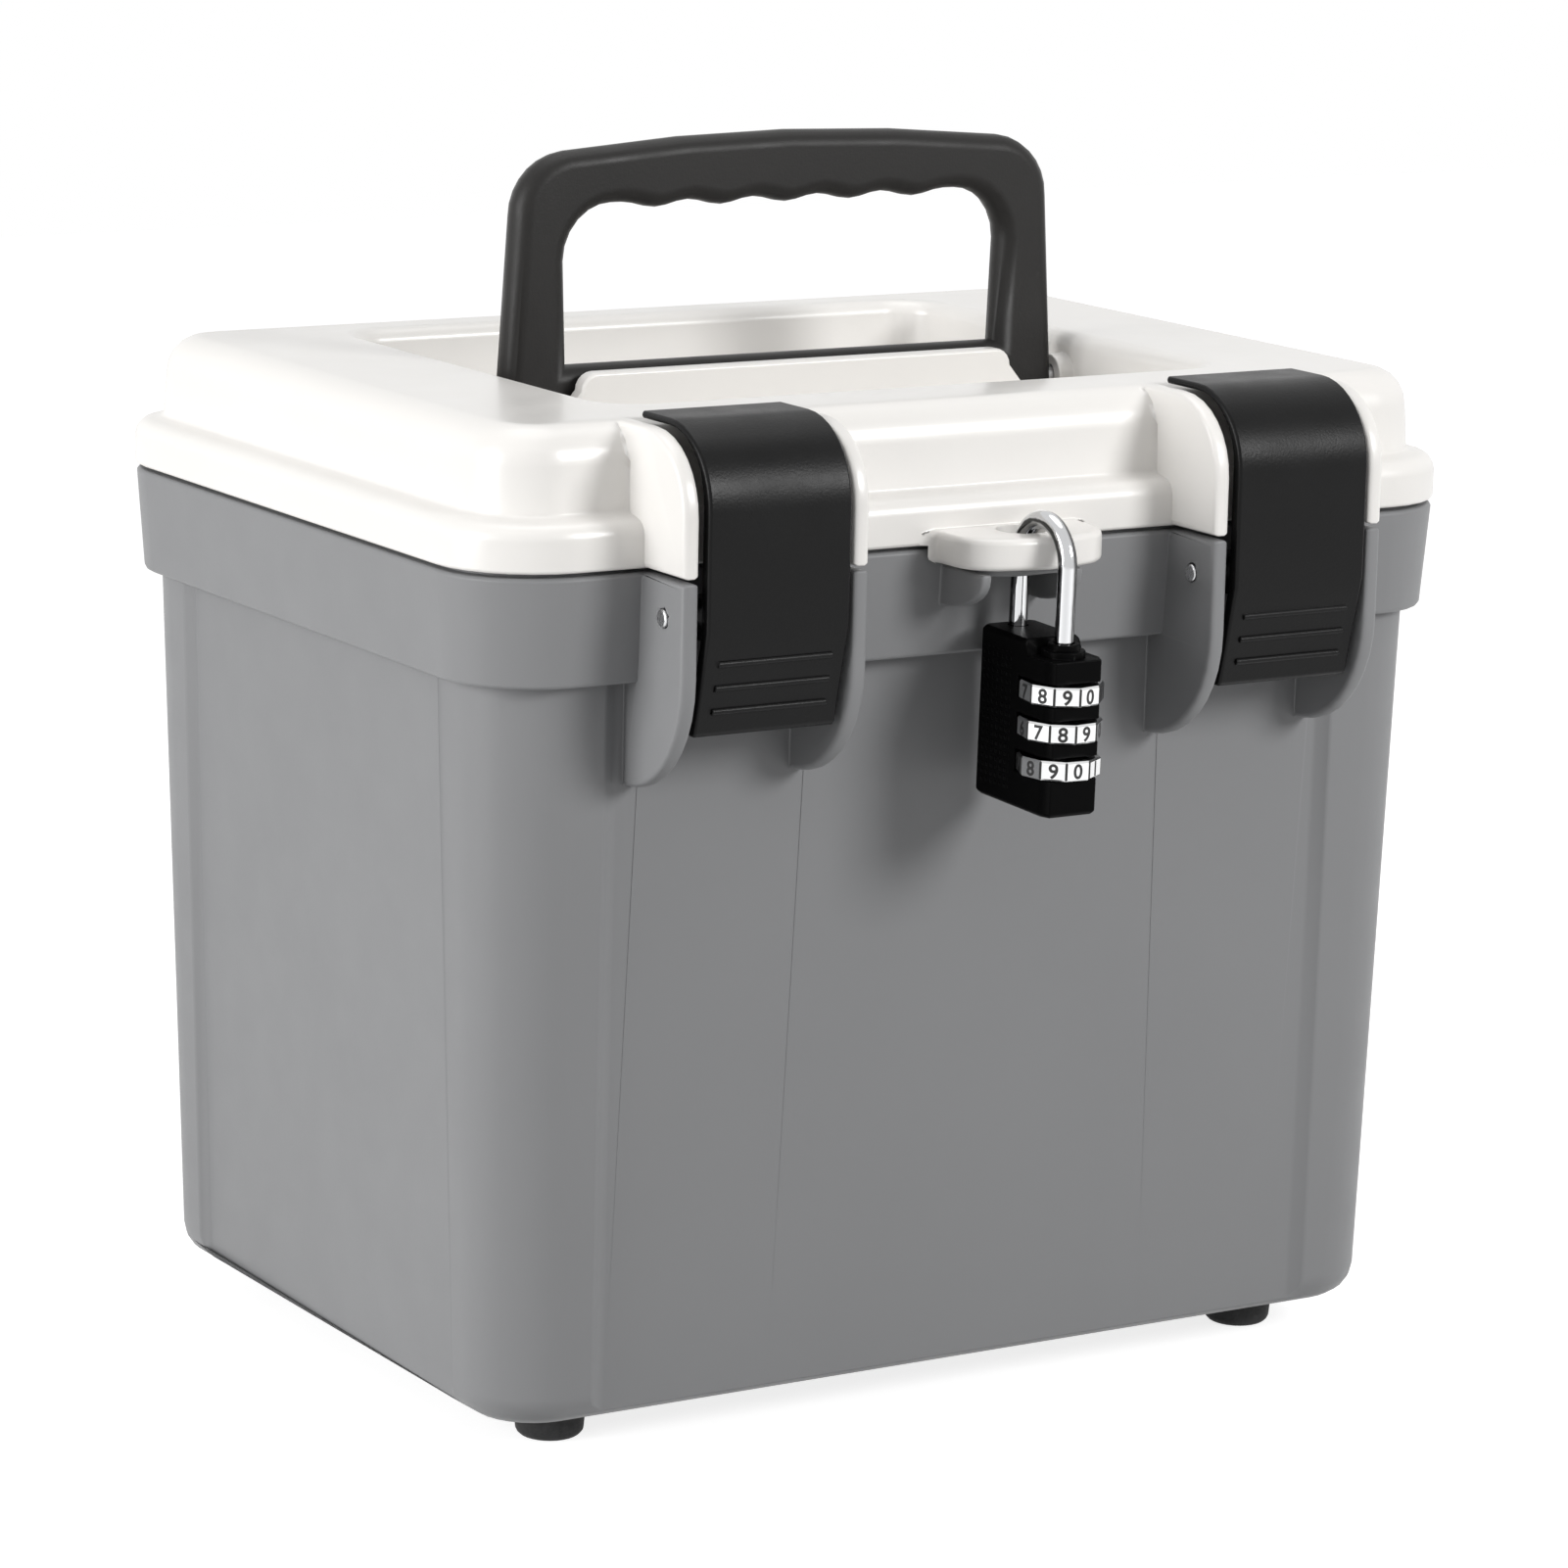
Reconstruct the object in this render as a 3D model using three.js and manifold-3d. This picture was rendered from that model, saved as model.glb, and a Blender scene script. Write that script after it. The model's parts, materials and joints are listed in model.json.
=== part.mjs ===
// Medication lock box: a drafted grey case with a white domed lid, a folding carry handle,
// two rocking latches, a combination padlock on the locking lug and a lift-out tray.
// Millimetres, +Z up, the box's front faces -Y, the origin is under the middle of the whole object.

import * as THREE from 'three';
import { mergeVertices } from 'three/addons/utils/BufferGeometryUtils.js';
import Module from 'manifold-3d';

const wasm = await Module();
wasm.setup();

// Driving dimensions

const CLEAR = 0.3;
const PIN_CLEAR = 0.2;
const WALL = 2.6;
const CORNER_STEPS = 7;

const FOOT_HEIGHT = 8.3;
const FOOT_RADIUS = 7.9;
const FOOT_TAPER = 0.6;
const FOOT_EDGE = 1.1;
const FOOT_STEM_RADIUS = 3;
const FOOT_INSET_X = 23.8;
const FOOT_INSET_Y = 21.9;

const CASE_TOP_Z = 190.15;
const COLLAR_HEIGHT = 23;
const COLLAR_DRAFT = 1.65;
const COLLAR_STEP = 0.35;
const COLLAR_EDGE = 0.6;
const RIM_WIDTH = 246;
const RIM_DEPTH = 181.6;
const RIM_CORNER = 21.5;
const WALL_CORNER = 16.5;
const WALL_STEP = 3.7;
const WALL_DRAFT_X = 4.1;
const WALL_DRAFT_Y = 2.4;
const CASE_FLOOR = 3;
const BOTTOM_FILLET = 6.7;
const FRONT_POST = 25.8;
const SIDE_POST = 23.6;
const PANEL_DEPTH = 1.8;
const PANEL_BEVEL = 2.6;
const LEDGE_DROP = 17;
const UPSTAND_HEIGHT = 4.5;
const UPSTAND_WALL = 1.8;
const UPSTAND_CLEAR = 0.5;

const SEAM_GAP = 0.9;
const SKIRT_HEIGHT = 10.5;
const SKIRT_ROUND = 3.6;
const SKIRT_EDGE = 0.5;
const DOME_INSET = 6.3;
const DOME_LEAN = 0.7;
const DOME_HEIGHT = 18.05;
const DOME_FILLET = 8;
const DOME_FOOT = 0.8;

const WELL_SIDE_GAP = 4.4;
const WELL_FRONT_INSET = 32.5;
const WELL_REAR_INSET = 26;
const WELL_DEPTH = 14.45;
const WELL_CORNER = 9;
const WELL_EDGE = 3.2;

const HANDLE_Y = 1.4;
const HANDLE_DEPTH = 8.6;
const HANDLE_ROUND = 3.6;
const HANDLE_BASE_HALF = 71;
const HANDLE_TOP_HALF = 68;
const HANDLE_LEG = 14.9;
const HANDLE_INNER_LEAN = 0.8;
const HANDLE_RISE = 45.8;
const HANDLE_CROWN = 2.8;
const HANDLE_CORNER = 14;
const GRIP_HEIGHT = 11.5;
const GRIP_CORNER = 12;
const GRIP_WAVES = 5;
const GRIP_WAVE_PITCH = 16.5;
const GRIP_WAVE_DEPTH = 1.4;
const BAR_DROP = 0.6;
const BAR_HEIGHT = 13.4;
const HANDLE_PIN_RADIUS = 2.5;
const HANDLE_BOSS_RADIUS = 5;
const HANDLE_PIN_BITE = 9;
const PEDESTAL_WALL = 4.2;
const PEDESTAL_GAP = 1;
const PEDESTAL_SIDE_GAP = 1;
const PEDESTAL_FLARE = 8;
const PEDESTAL_DROP = 0.75;
const PEDESTAL_CORNER = 4;
const PEDESTAL_EDGE = 0.5;

const LATCH_INSET = 58.4;
const LATCH_WIDTH = 33.5;
const LATCH_THICK = 3;
const LATCH_LIP_THICK = 1.5;
const LATCH_REACH = 17.2;
const LATCH_LIP_REACH = 11.3;
const LATCH_BEND_RADIUS = 17.3;
const LATCH_KNEE_DROP = 10.95;
const LATCH_TAIL_DROP = 33.25;
const LATCH_TAIL_IN = 4.9;
const LATCH_TAIL_EDGE = 0.8;
const LATCH_PIVOT_REACH = 7.9;
const LATCH_PIVOT_DROP = 8.85;
const LATCH_BARREL_RADIUS = 4.3;
const LATCH_EDGE = 0.5;
const LATCH_RIDGE_DROPS = [17.75, 22.85, 27.85];
const LATCH_RIDGE_LENGTH = 27;
const LATCH_RIDGE_RADIUS = 0.75;
const LATCH_RIDGE_SINK = 0.15;
const LATCH_PIN_RADIUS = 1.9;
const LATCH_PIN_PROUD = 0.5;
const EAR_THICK = 3.9;
const EAR_SIDE_GAP = 1.25;
const EAR_REACH = 15.9;
const EAR_DROP = 22.45;
const EAR_CURVE_HEIGHT = 25.5;
const EAR_CURVE_IN = 2.3;
const EAR_EDGE = 1.2;
const CHEEK_RISE = 0.3;
const CHEEK_BEND_RADIUS = 16.8;

const TAB_HALF = 17.8;
const TAB_REACH = 19.6;
const TAB_CORNER = 10;
const TAB_CROWN = 2.2;
const TAB_THICK = 6.8;
const TAB_DROP = 3.55;
const TAB_EDGE = 1.4;
const TAB_FLARE = 3;
const LUG_HOLE_RADIUS = 5.5;
const LUG_HOLE_REACH = 6.9;
const LUG_GROOVE_RISE = 5.5;
const LUG_THICK = 1.6;
const LUG_INSET = 4;
const LUG_RIB_XS = [-13.5, 9];
const LUG_RIB_THICK = 2.4;
const LUG_RIB_REACH = 15;
const LUG_RIB_DROP = 7.4;

const SHACKLE_RADIUS = 2;
const SHACKLE_SPAN = 17.4;
const SHACKLE_BOW_DROP = 5.4;
const SHACKLE_LEG = 15.1;
const SHORT_LEG_SEAT = 7;
const LOCK_HANG = 1.7;
const LOCK_HEIGHT = 36.2;
const LOCK_THICK = 13.6;
const LOCK_FRONT = 6;
const LOCK_REAR = 4.2;
const LOCK_CHAMFER_X = 1.2;
const LOCK_CHAMFER_Y = 2.8;
const LOCK_REAR_CHAMFER = 1.2;
const LOCK_HEEL = 2.2;
const LOCK_EDGE = 0.8;
const LOCK_STEP = 3.2;
const LOCK_BORE_GAP = 0.3;
const LOCK_NECK_RADIUS = 3.4;
const LOCK_NECK_HEIGHT = 2.8;
const LOCK_COLLAR_RADIUS = 4.6;
const LOCK_COLLAR_HEIGHT = 1.4;
const LOCK_BASE = 2;
const DIAL_RADIUS = 8.9;
const DIAL_THICK = 4.1;
const DIAL_DROPS = [10.3, 18.1, 25.9];
const DIAL_TURNS = [10.6, 6.8, -4.3];
const DIAL_FACES = 10;
const DIAL_EDGE = 0.4;

const HINGE_INSET = 61;
const HINGE_OUT = 6.2;
const HINGE_RADIUS = 4.4;
const HINGE_PIN_RADIUS = 1.8;
const HINGE_PIN_PROUD = 0.4;
const HINGE_KNUCKLE = 12;
const HINGE_GAP = 0.4;
const HINGE_ARM = 14;

const TRAY_CLEAR = 1.2;
const TRAY_DEPTH = 42;
const TRAY_WALL = 1.8;
const TRAY_FLANGE = 3.6;
const TRAY_FLANGE_THICK = 2.2;
const TRAY_DRAFT = 2;
const TRAY_RIB_DROP = 4;
const TRAY_GRIP_LENGTH = 30;
const TRAY_GRIP_DROP = 16;
const TRAY_GRIP_HEIGHT = 12;

const ROUND_STEPS = 28;
const PIN_STEPS = 20;

// Levels and places that follow from them

const rimHalf = { x: RIM_WIDTH / 2, y: RIM_DEPTH / 2 };
const frontY = -rimHalf.y;
const wallTop = {
  z: CASE_TOP_Z - COLLAR_HEIGHT,
  x: rimHalf.x - COLLAR_STEP - COLLAR_DRAFT - WALL_STEP,
  y: rimHalf.y - COLLAR_STEP - COLLAR_DRAFT - WALL_STEP,
};
const ledgeZ = CASE_TOP_Z - LEDGE_DROP;
const skirtBottomZ = CASE_TOP_Z + SEAM_GAP;
const ledgeTopZ = skirtBottomZ + SKIRT_HEIGHT;
const lidTopZ = ledgeTopZ + DOME_HEIGHT;
const domeTopInset = DOME_INSET + DOME_LEAN + DOME_FILLET;
const upstandInset = WALL + UPSTAND_CLEAR;

const wellFloorZ = lidTopZ - WELL_DEPTH;
const wellHalfX = HANDLE_BASE_HALF + WELL_SIDE_GAP;
const wellFrontY = frontY + WELL_FRONT_INSET;
const wellRearY = rimHalf.y - WELL_REAR_INSET;
const handleTopZ = lidTopZ + HANDLE_RISE;
const handleInnerHalf = HANDLE_BASE_HALF - HANDLE_LEG;
const barTopZ = lidTopZ - BAR_DROP;
const handlePivotZ = barTopZ - BAR_HEIGHT + HANDLE_DEPTH / 2;

const latchX = rimHalf.x - LATCH_INSET;
const latchFrontY = frontY - LATCH_REACH;
const latchLipY = frontY + LATCH_LIP_REACH;
const latchKneeZ = skirtBottomZ - LATCH_KNEE_DROP;
const latchTailZ = skirtBottomZ - LATCH_TAIL_DROP;
const latchPivotY = frontY - LATCH_PIVOT_REACH;
const latchPivotZ = skirtBottomZ - LATCH_PIVOT_DROP;
const earFrontY = frontY - EAR_REACH;
const earBottomZ = wallTop.z - EAR_DROP;

const tabFrontY = frontY - TAB_REACH;
const tabBottomZ = skirtBottomZ - TAB_DROP;
const tabTopZ = tabBottomZ + TAB_THICK;
const lugTopZ = tabBottomZ - CLEAR;
const lugHoleY = frontY - LUG_HOLE_REACH;

const shackleRearY = lugHoleY;
const shackleFrontY = shackleRearY - SHACKLE_SPAN;
const shackleBowZ = tabTopZ - SHACKLE_BOW_DROP;
const lockTopZ = shackleBowZ - SHACKLE_LEG;
const lockBottomZ = lockTopZ - LOCK_HEIGHT;
const dialZs = DIAL_DROPS.map((drop) => lockTopZ - drop);
const hangY = (shackleRearY + shackleFrontY) / 2;

const hingeX = rimHalf.x - HINGE_INSET;
const hingeY = rimHalf.y + HINGE_OUT;
const hingeZ = CASE_TOP_Z + SEAM_GAP / 2;

// Solids

function toSolid(geometry) {
  const bare = geometry.clone();
  bare.deleteAttribute('normal');
  bare.deleteAttribute('uv');
  const merged = mergeVertices(bare, 1e-4);
  return new wasm.Manifold(new wasm.Mesh({
    numProp: 3,
    vertProperties: new Float32Array(merged.attributes.position.array),
    triVerts: new Uint32Array(merged.index.array),
  }));
}

function toGeometry(solid) {
  const result = solid.getMesh();
  const geometry = new THREE.BufferGeometry();
  geometry.setAttribute('position', new THREE.BufferAttribute(result.vertProperties, 3));
  geometry.setIndex(new THREE.BufferAttribute(result.triVerts, 1));
  geometry.computeVertexNormals();
  return geometry;
}

function join(solids) {
  return solids.reduce((sum, solid) => sum.add(solid));
}

function cut(solid, tools) {
  return tools.reduce((rest, tool) => rest.subtract(tool), solid);
}

function box(lowX, highX, lowY, highY, lowZ, highZ) {
  const geometry = new THREE.BoxGeometry(highX - lowX, highY - lowY, highZ - lowZ);
  geometry.translate((lowX + highX) / 2, (lowY + highY) / 2, (lowZ + highZ) / 2);
  return toSolid(geometry);
}

function rod(radius, from, to, steps = PIN_STEPS) {
  const start = new THREE.Vector3(...from);
  const along = new THREE.Vector3(...to).sub(start);
  const geometry = new THREE.CylinderGeometry(radius, radius, along.length(), steps);
  const turn = new THREE.Quaternion().setFromUnitVectors(new THREE.Vector3(0, 1, 0), along.clone().normalize());
  geometry.applyQuaternion(turn);
  geometry.translate(...start.addScaledVector(along, 0.5).toArray());
  return toSolid(geometry);
}

// A closed ring of points: a rectangle with round corners, the same count of points at any size.
function roundedRect(halfX, halfY, radius, z, centreY = 0, steps = CORNER_STEPS) {
  const points = [];
  for (let corner = 0; corner < 4; corner += 1) {
    const signX = corner === 0 || corner === 3 ? 1 : -1;
    const signY = corner < 2 ? 1 : -1;
    for (let step = 0; step <= steps; step += 1) {
      const angle = (corner + step / steps) * Math.PI / 2;
      points.push(new THREE.Vector3(
        signX * (halfX - radius) + radius * Math.cos(angle),
        centreY + signY * (halfY - radius) + radius * Math.sin(angle),
        z,
      ));
    }
  }
  return points;
}

// A closed solid through rings of equal count, each a convex outline, from bottom to top.
function loft(rings) {
  const count = rings[0].length;
  const positions = [];
  const triangles = [];
  for (const ring of rings) {
    for (const point of ring) positions.push(point.x, point.y, point.z);
  }
  for (let level = 0; level + 1 < rings.length; level += 1) {
    for (let index = 0; index < count; index += 1) {
      const next = (index + 1) % count;
      const low = level * count;
      const high = low + count;
      triangles.push(low + index, low + next, high + next, low + index, high + next, high + index);
    }
  }
  const last = (rings.length - 1) * count;
  for (let index = 1; index + 1 < count; index += 1) {
    triangles.push(0, index + 1, index);
    triangles.push(last, last + index, last + index + 1);
  }
  const geometry = new THREE.BufferGeometry();
  geometry.setAttribute('position', new THREE.BufferAttribute(new Float32Array(positions), 3));
  geometry.setIndex(triangles);
  return toSolid(geometry);
}

// A side profile, drawn as (y, z), made solid between two places along X, with softened side edges.
function slab(shape, lowX, highX, edge = 0, steps = 2, curveSteps = 8) {
  const geometry = new THREE.ExtrudeGeometry(shape, {
    depth: highX - lowX - 2 * edge,
    bevelEnabled: edge > 0,
    bevelThickness: edge,
    bevelSize: edge,
    bevelOffset: -edge,
    bevelSegments: steps,
    curveSegments: curveSteps,
  });
  geometry.applyMatrix4(new THREE.Matrix4().set(0, 0, 1, lowX + edge, 1, 0, 0, 0, 0, 1, 0, 0, 0, 0, 0, 1));
  return toSolid(geometry);
}

// A plan outline, drawn as (x, y), made solid between two levels, with softened top and bottom edges.
function plate(shape, lowZ, highZ, edge = 0, steps = 2, curveSteps = 8) {
  const geometry = new THREE.ExtrudeGeometry(shape, {
    depth: highZ - lowZ - 2 * edge,
    bevelEnabled: edge > 0,
    bevelThickness: edge,
    bevelSize: edge,
    bevelOffset: -edge,
    bevelSegments: steps,
    curveSegments: curveSteps,
  });
  geometry.translate(0, 0, lowZ + edge);
  return toSolid(geometry);
}

function outline(points) {
  return new THREE.Shape(points.map(([x, y]) => new THREE.Vector2(x, y)));
}

function arcPoints(centreX, centreY, radiusX, radiusY, fromDegrees, toDegrees, steps) {
  const points = [];
  for (let step = 0; step <= steps; step += 1) {
    const angle = THREE.MathUtils.degToRad(fromDegrees + (toDegrees - fromDegrees) * step / steps);
    points.push([centreX + radiusX * Math.cos(angle), centreY + radiusY * Math.sin(angle)]);
  }
  return points;
}

const group = new THREE.Group();

function addPiece(name, solid, material) {
  const mesh = new THREE.Mesh(toGeometry(solid), new THREE.MeshStandardMaterial(material));
  mesh.name = name;
  group.add(mesh);
  return mesh;
}

// The padlock is modelled upright and hangs a little towards the wall, turned about the middle of its bow.
const hanging = new THREE.Group();
hanging.position.set(0, hangY, shackleBowZ);
hanging.rotation.x = THREE.MathUtils.degToRad(LOCK_HANG);
group.add(hanging);

function addHangingPiece(name, solid, material) {
  const mesh = addPiece(name, solid.translate([0, -hangY, -shackleBowZ]), material);
  hanging.add(mesh);
}

const GREY_PLASTIC = { color: 0x8b8c8e, roughness: 0.5, metalness: 0 };
const WHITE_PLASTIC = { color: 0xf3f1ed, roughness: 0.35, metalness: 0 };
const BLACK_PLASTIC = { color: 0x1d1d1e, roughness: 0.42, metalness: 0 };
const CHARCOAL_PLASTIC = { color: 0x373635, roughness: 0.55, metalness: 0 };
const RUBBER = { color: 0x252526, roughness: 0.8, metalness: 0 };
const STEEL = { color: 0xb9babb, roughness: 0.3, metalness: 1 };
const CHROME = { color: 0xdcdde0, roughness: 0.08, metalness: 1 };
const SILVER = { color: 0xc8c9cb, roughness: 0.25, metalness: 1 };
const TRAY_PLASTIC = { color: 0xe6e5e2, roughness: 0.45, metalness: 0 };

// Case

function wallHalf(z) {
  const share = (wallTop.z - z) / (wallTop.z - FOOT_HEIGHT);
  return { x: wallTop.x - WALL_DRAFT_X * share, y: wallTop.y - WALL_DRAFT_Y * share };
}

function caseShell() {
  const rings = [];
  for (let step = 0; step <= 4; step += 1) {
    const angle = step / 4 * Math.PI / 2;
    const z = FOOT_HEIGHT + BOTTOM_FILLET * (1 - Math.cos(angle));
    const inset = BOTTOM_FILLET * (1 - Math.sin(angle));
    const half = wallHalf(z);
    rings.push(roundedRect(half.x - inset, half.y - inset, WALL_CORNER - inset, z));
  }
  const top = wallHalf(wallTop.z + COLLAR_HEIGHT / 3);
  rings.push(roundedRect(top.x, top.y, WALL_CORNER, wallTop.z + COLLAR_HEIGHT / 3));
  return loft(rings);
}

// The sunk panel of one side: its floor runs parallel to the drafted wall, and its edges are bevelled.
function panelCutter(halfAcross, wallDistance, draft, turnDegrees) {
  const height = wallTop.z - FOOT_HEIGHT;
  const floorHalf = halfAcross - PANEL_BEVEL;
  const shape = outline([
    [-floorHalf, -height * 1.2],
    [floorHalf, -height * 1.2],
    [floorHalf, PANEL_BEVEL],
    [-floorHalf, PANEL_BEVEL],
  ]);
  const geometry = new THREE.ExtrudeGeometry(shape, {
    depth: 8,
    bevelThickness: PANEL_DEPTH,
    bevelSize: PANEL_BEVEL,
    bevelSegments: 1,
  });
  const lean = Math.atan2(draft, height);
  geometry.rotateX(Math.PI / 2 + lean);
  geometry.translate(0, -wallDistance, wallTop.z);
  geometry.rotateZ(THREE.MathUtils.degToRad(turnDegrees));
  const top = box(-RIM_WIDTH, RIM_WIDTH, -RIM_WIDTH, RIM_WIDTH, wallTop.z, wallTop.z + COLLAR_HEIGHT);
  return toSolid(geometry).subtract(top);
}

function collar() {
  const ring = (inset, z) => roundedRect(rimHalf.x - inset, rimHalf.y - inset, RIM_CORNER - inset, z);
  const low = COLLAR_STEP + COLLAR_DRAFT;
  return loft([
    ring(low + COLLAR_EDGE, wallTop.z),
    ring(low, wallTop.z + COLLAR_EDGE),
    ring(COLLAR_STEP, CASE_TOP_Z - COLLAR_EDGE),
    ring(COLLAR_STEP + COLLAR_EDGE, CASE_TOP_Z),
  ]);
}

function upstand() {
  const out = upstandInset;
  const low = CASE_TOP_Z - 3;
  const high = CASE_TOP_Z + UPSTAND_HEIGHT;
  return loft([
    roundedRect(rimHalf.x - out, rimHalf.y - out, RIM_CORNER - out, low),
    roundedRect(rimHalf.x - out, rimHalf.y - out, RIM_CORNER - out, high),
  ]);
}

function caseCavity() {
  const inset = PANEL_DEPTH + WALL;
  const floor = FOOT_HEIGHT + CASE_FLOOR;
  const low = wallHalf(floor);
  const high = wallHalf(ledgeZ);
  const rim = upstandInset + UPSTAND_WALL;
  const lower = loft([
    roundedRect(low.x - inset - 4, low.y - inset - 4, WALL_CORNER - inset - 4, floor),
    roundedRect(low.x - inset, low.y - inset, WALL_CORNER - inset, floor + 4),
    roundedRect(high.x - inset, high.y - inset, WALL_CORNER - inset, ledgeZ + 1),
  ]);
  const upper = loft([
    roundedRect(rimHalf.x - rim - 1, rimHalf.y - rim - 1, RIM_CORNER - rim - 1, ledgeZ),
    roundedRect(rimHalf.x - rim, rimHalf.y - rim, RIM_CORNER - rim, CASE_TOP_Z + UPSTAND_HEIGHT + 1),
  ]);
  return lower.add(upper);
}

function latchSides(centreX) {
  const inner = LATCH_WIDTH / 2 + EAR_SIDE_GAP;
  return [
    [centreX - inner - EAR_THICK, centreX - inner],
    [centreX + inner, centreX + inner + EAR_THICK],
  ];
}

function earShape() {
  const rearY = -wallTop.y + WALL;
  const centreY = -wallTop.y + EAR_CURVE_IN;
  const curveZ = earBottomZ + EAR_CURVE_HEIGHT;
  return outline([
    [rearY, CASE_TOP_Z],
    [earFrontY, CASE_TOP_Z],
    ...arcPoints(centreY, curveZ, centreY - earFrontY, EAR_CURVE_HEIGHT, 180, 266, 9),
    [rearY, earBottomZ],
  ]);
}

function tabOutline(rearY) {
  const half = TAB_HALF;
  const front = tabFrontY;
  const corner = TAB_CORNER;
  return outline([
    [half + TAB_FLARE, rearY],
    ...arcPoints(half + TAB_FLARE, frontY - TAB_FLARE, TAB_FLARE, TAB_FLARE, 90, 180, 4),
    ...arcPoints(half - corner, front + TAB_CROWN + corner, corner, corner, 0, -80, 6),
    [0, front],
    ...arcPoints(-half + corner, front + TAB_CROWN + corner, corner, corner, -100, -180, 6),
    ...arcPoints(-half - TAB_FLARE, frontY - TAB_FLARE, TAB_FLARE, TAB_FLARE, 0, 90, 4),
    [-half - TAB_FLARE, rearY],
  ]);
}

function lug() {
  const half = TAB_HALF - LUG_INSET;
  const front = tabFrontY + LUG_INSET;
  const rear = frontY + WALL;
  const shape = outline([
    [half, rear],
    ...arcPoints(half - TAB_CORNER, front + TAB_CROWN + TAB_CORNER, TAB_CORNER, TAB_CORNER, 0, -90, 6),
    ...arcPoints(-half + TAB_CORNER, front + TAB_CROWN + TAB_CORNER, TAB_CORNER, TAB_CORNER, -90, -180, 6),
    [-half, rear],
  ]);
  const flat = plate(shape, lugTopZ - LUG_THICK, lugTopZ);
  const ribs = LUG_RIB_XS.map((x) => {
    const profile = outline([
      [rear, lugTopZ - 0.5],
      [frontY - LUG_RIB_REACH, lugTopZ - 0.5],
      ...arcPoints(frontY, lugTopZ - LUG_THICK, LUG_RIB_REACH, LUG_RIB_DROP, 180, 262, 7),
      [rear, lugTopZ - LUG_THICK - LUG_RIB_DROP],
    ]);
    return slab(profile, x - LUG_RIB_THICK / 2, x + LUG_RIB_THICK / 2, 0.4, 1);
  });
  const hole = rod(
    LUG_HOLE_RADIUS,
    [0, lugHoleY, lugTopZ - LUG_THICK - LUG_RIB_DROP - 5],
    [0, lugHoleY, lugTopZ + 1],
    ROUND_STEPS,
  );
  return join([flat, ...ribs]).subtract(hole);
}

// One hinge has two case knuckles with the lid's knuckle between them.
function hingeBarrel(lowX, highX) {
  return rod(HINGE_RADIUS, [lowX, hingeY, hingeZ], [highX, hingeY, hingeZ], ROUND_STEPS);
}

function hingeSpans(centreX) {
  const half = HINGE_KNUCKLE / 2;
  return {
    lid: [centreX - half, centreX + half],
    case: [
      [centreX - half - HINGE_GAP - HINGE_KNUCKLE, centreX - half - HINGE_GAP],
      [centreX + half + HINGE_GAP, centreX + half + HINGE_GAP + HINGE_KNUCKLE],
    ],
    pin: [centreX - 3 * half - HINGE_GAP - HINGE_PIN_PROUD, centreX + 3 * half + HINGE_GAP + HINGE_PIN_PROUD],
  };
}

function caseKnuckle([lowX, highX]) {
  const rear = rimHalf.y - COLLAR_STEP;
  const arm = slab(outline([
    [rear - COLLAR_DRAFT - WALL, hingeZ - HINGE_ARM],
    [rear - COLLAR_DRAFT, hingeZ - HINGE_ARM],
    [hingeY + HINGE_RADIUS, hingeZ - 1],
    [hingeY + HINGE_RADIUS, hingeZ],
    [hingeY - HINGE_RADIUS, hingeZ],
    [hingeY - HINGE_RADIUS, CASE_TOP_Z - 0.8],
    [rear - COLLAR_DRAFT - WALL, CASE_TOP_Z - 0.8],
  ]), lowX, highX);
  return arm.add(hingeBarrel(lowX, highX));
}

const footPlaces = [
  ['foot_front_left', -1, -1],
  ['foot_front_right', 1, -1],
  ['foot_rear_left', -1, 1],
  ['foot_rear_right', 1, 1],
].map(([name, signX, signY]) => {
  const half = wallHalf(FOOT_HEIGHT);
  return { name, x: signX * (half.x - FOOT_INSET_X), y: signY * (half.y - FOOT_INSET_Y) };
});

function caseBody() {
  const panels = [
    panelCutter(wallTop.x - FRONT_POST, wallTop.y, WALL_DRAFT_Y, 0),
    panelCutter(wallTop.x - FRONT_POST, wallTop.y, WALL_DRAFT_Y, 180),
    panelCutter(wallTop.y - SIDE_POST, wallTop.x, WALL_DRAFT_X, 90),
    panelCutter(wallTop.y - SIDE_POST, wallTop.x, WALL_DRAFT_X, -90),
  ];
  const ears = [-latchX, latchX].flatMap((x) => latchSides(x))
    .map(([lowX, highX]) => slab(earShape(), lowX, highX, EAR_EDGE, 2));
  const knuckles = [-hingeX, hingeX].flatMap((x) => hingeSpans(x).case).map(caseKnuckle);
  const outside = join([cut(caseShell(), panels), collar(), upstand(), ...ears, lug(), ...knuckles]);
  const latchBores = [-latchX, latchX].map((x) => rod(
    LATCH_PIN_RADIUS + PIN_CLEAR,
    [x - LATCH_WIDTH, latchPivotY, latchPivotZ],
    [x + LATCH_WIDTH, latchPivotY, latchPivotZ],
  ));
  const hingeBores = [-hingeX, hingeX].map((x) => rod(
    HINGE_PIN_RADIUS + PIN_CLEAR,
    [x - 2 * HINGE_KNUCKLE, hingeY, hingeZ],
    [x + 2 * HINGE_KNUCKLE, hingeY, hingeZ],
  ));
  const footHoles = footPlaces.map(({ x, y }) => rod(
    FOOT_STEM_RADIUS + CLEAR,
    [x, y, FOOT_HEIGHT - 1],
    [x, y, FOOT_HEIGHT + CASE_FLOOR + 1],
  ));
  return cut(outside, [caseCavity(), ...latchBores, ...hingeBores, ...footHoles]);
}

addPiece('case_body', caseBody(), GREY_PLASTIC);

// Feet

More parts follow.
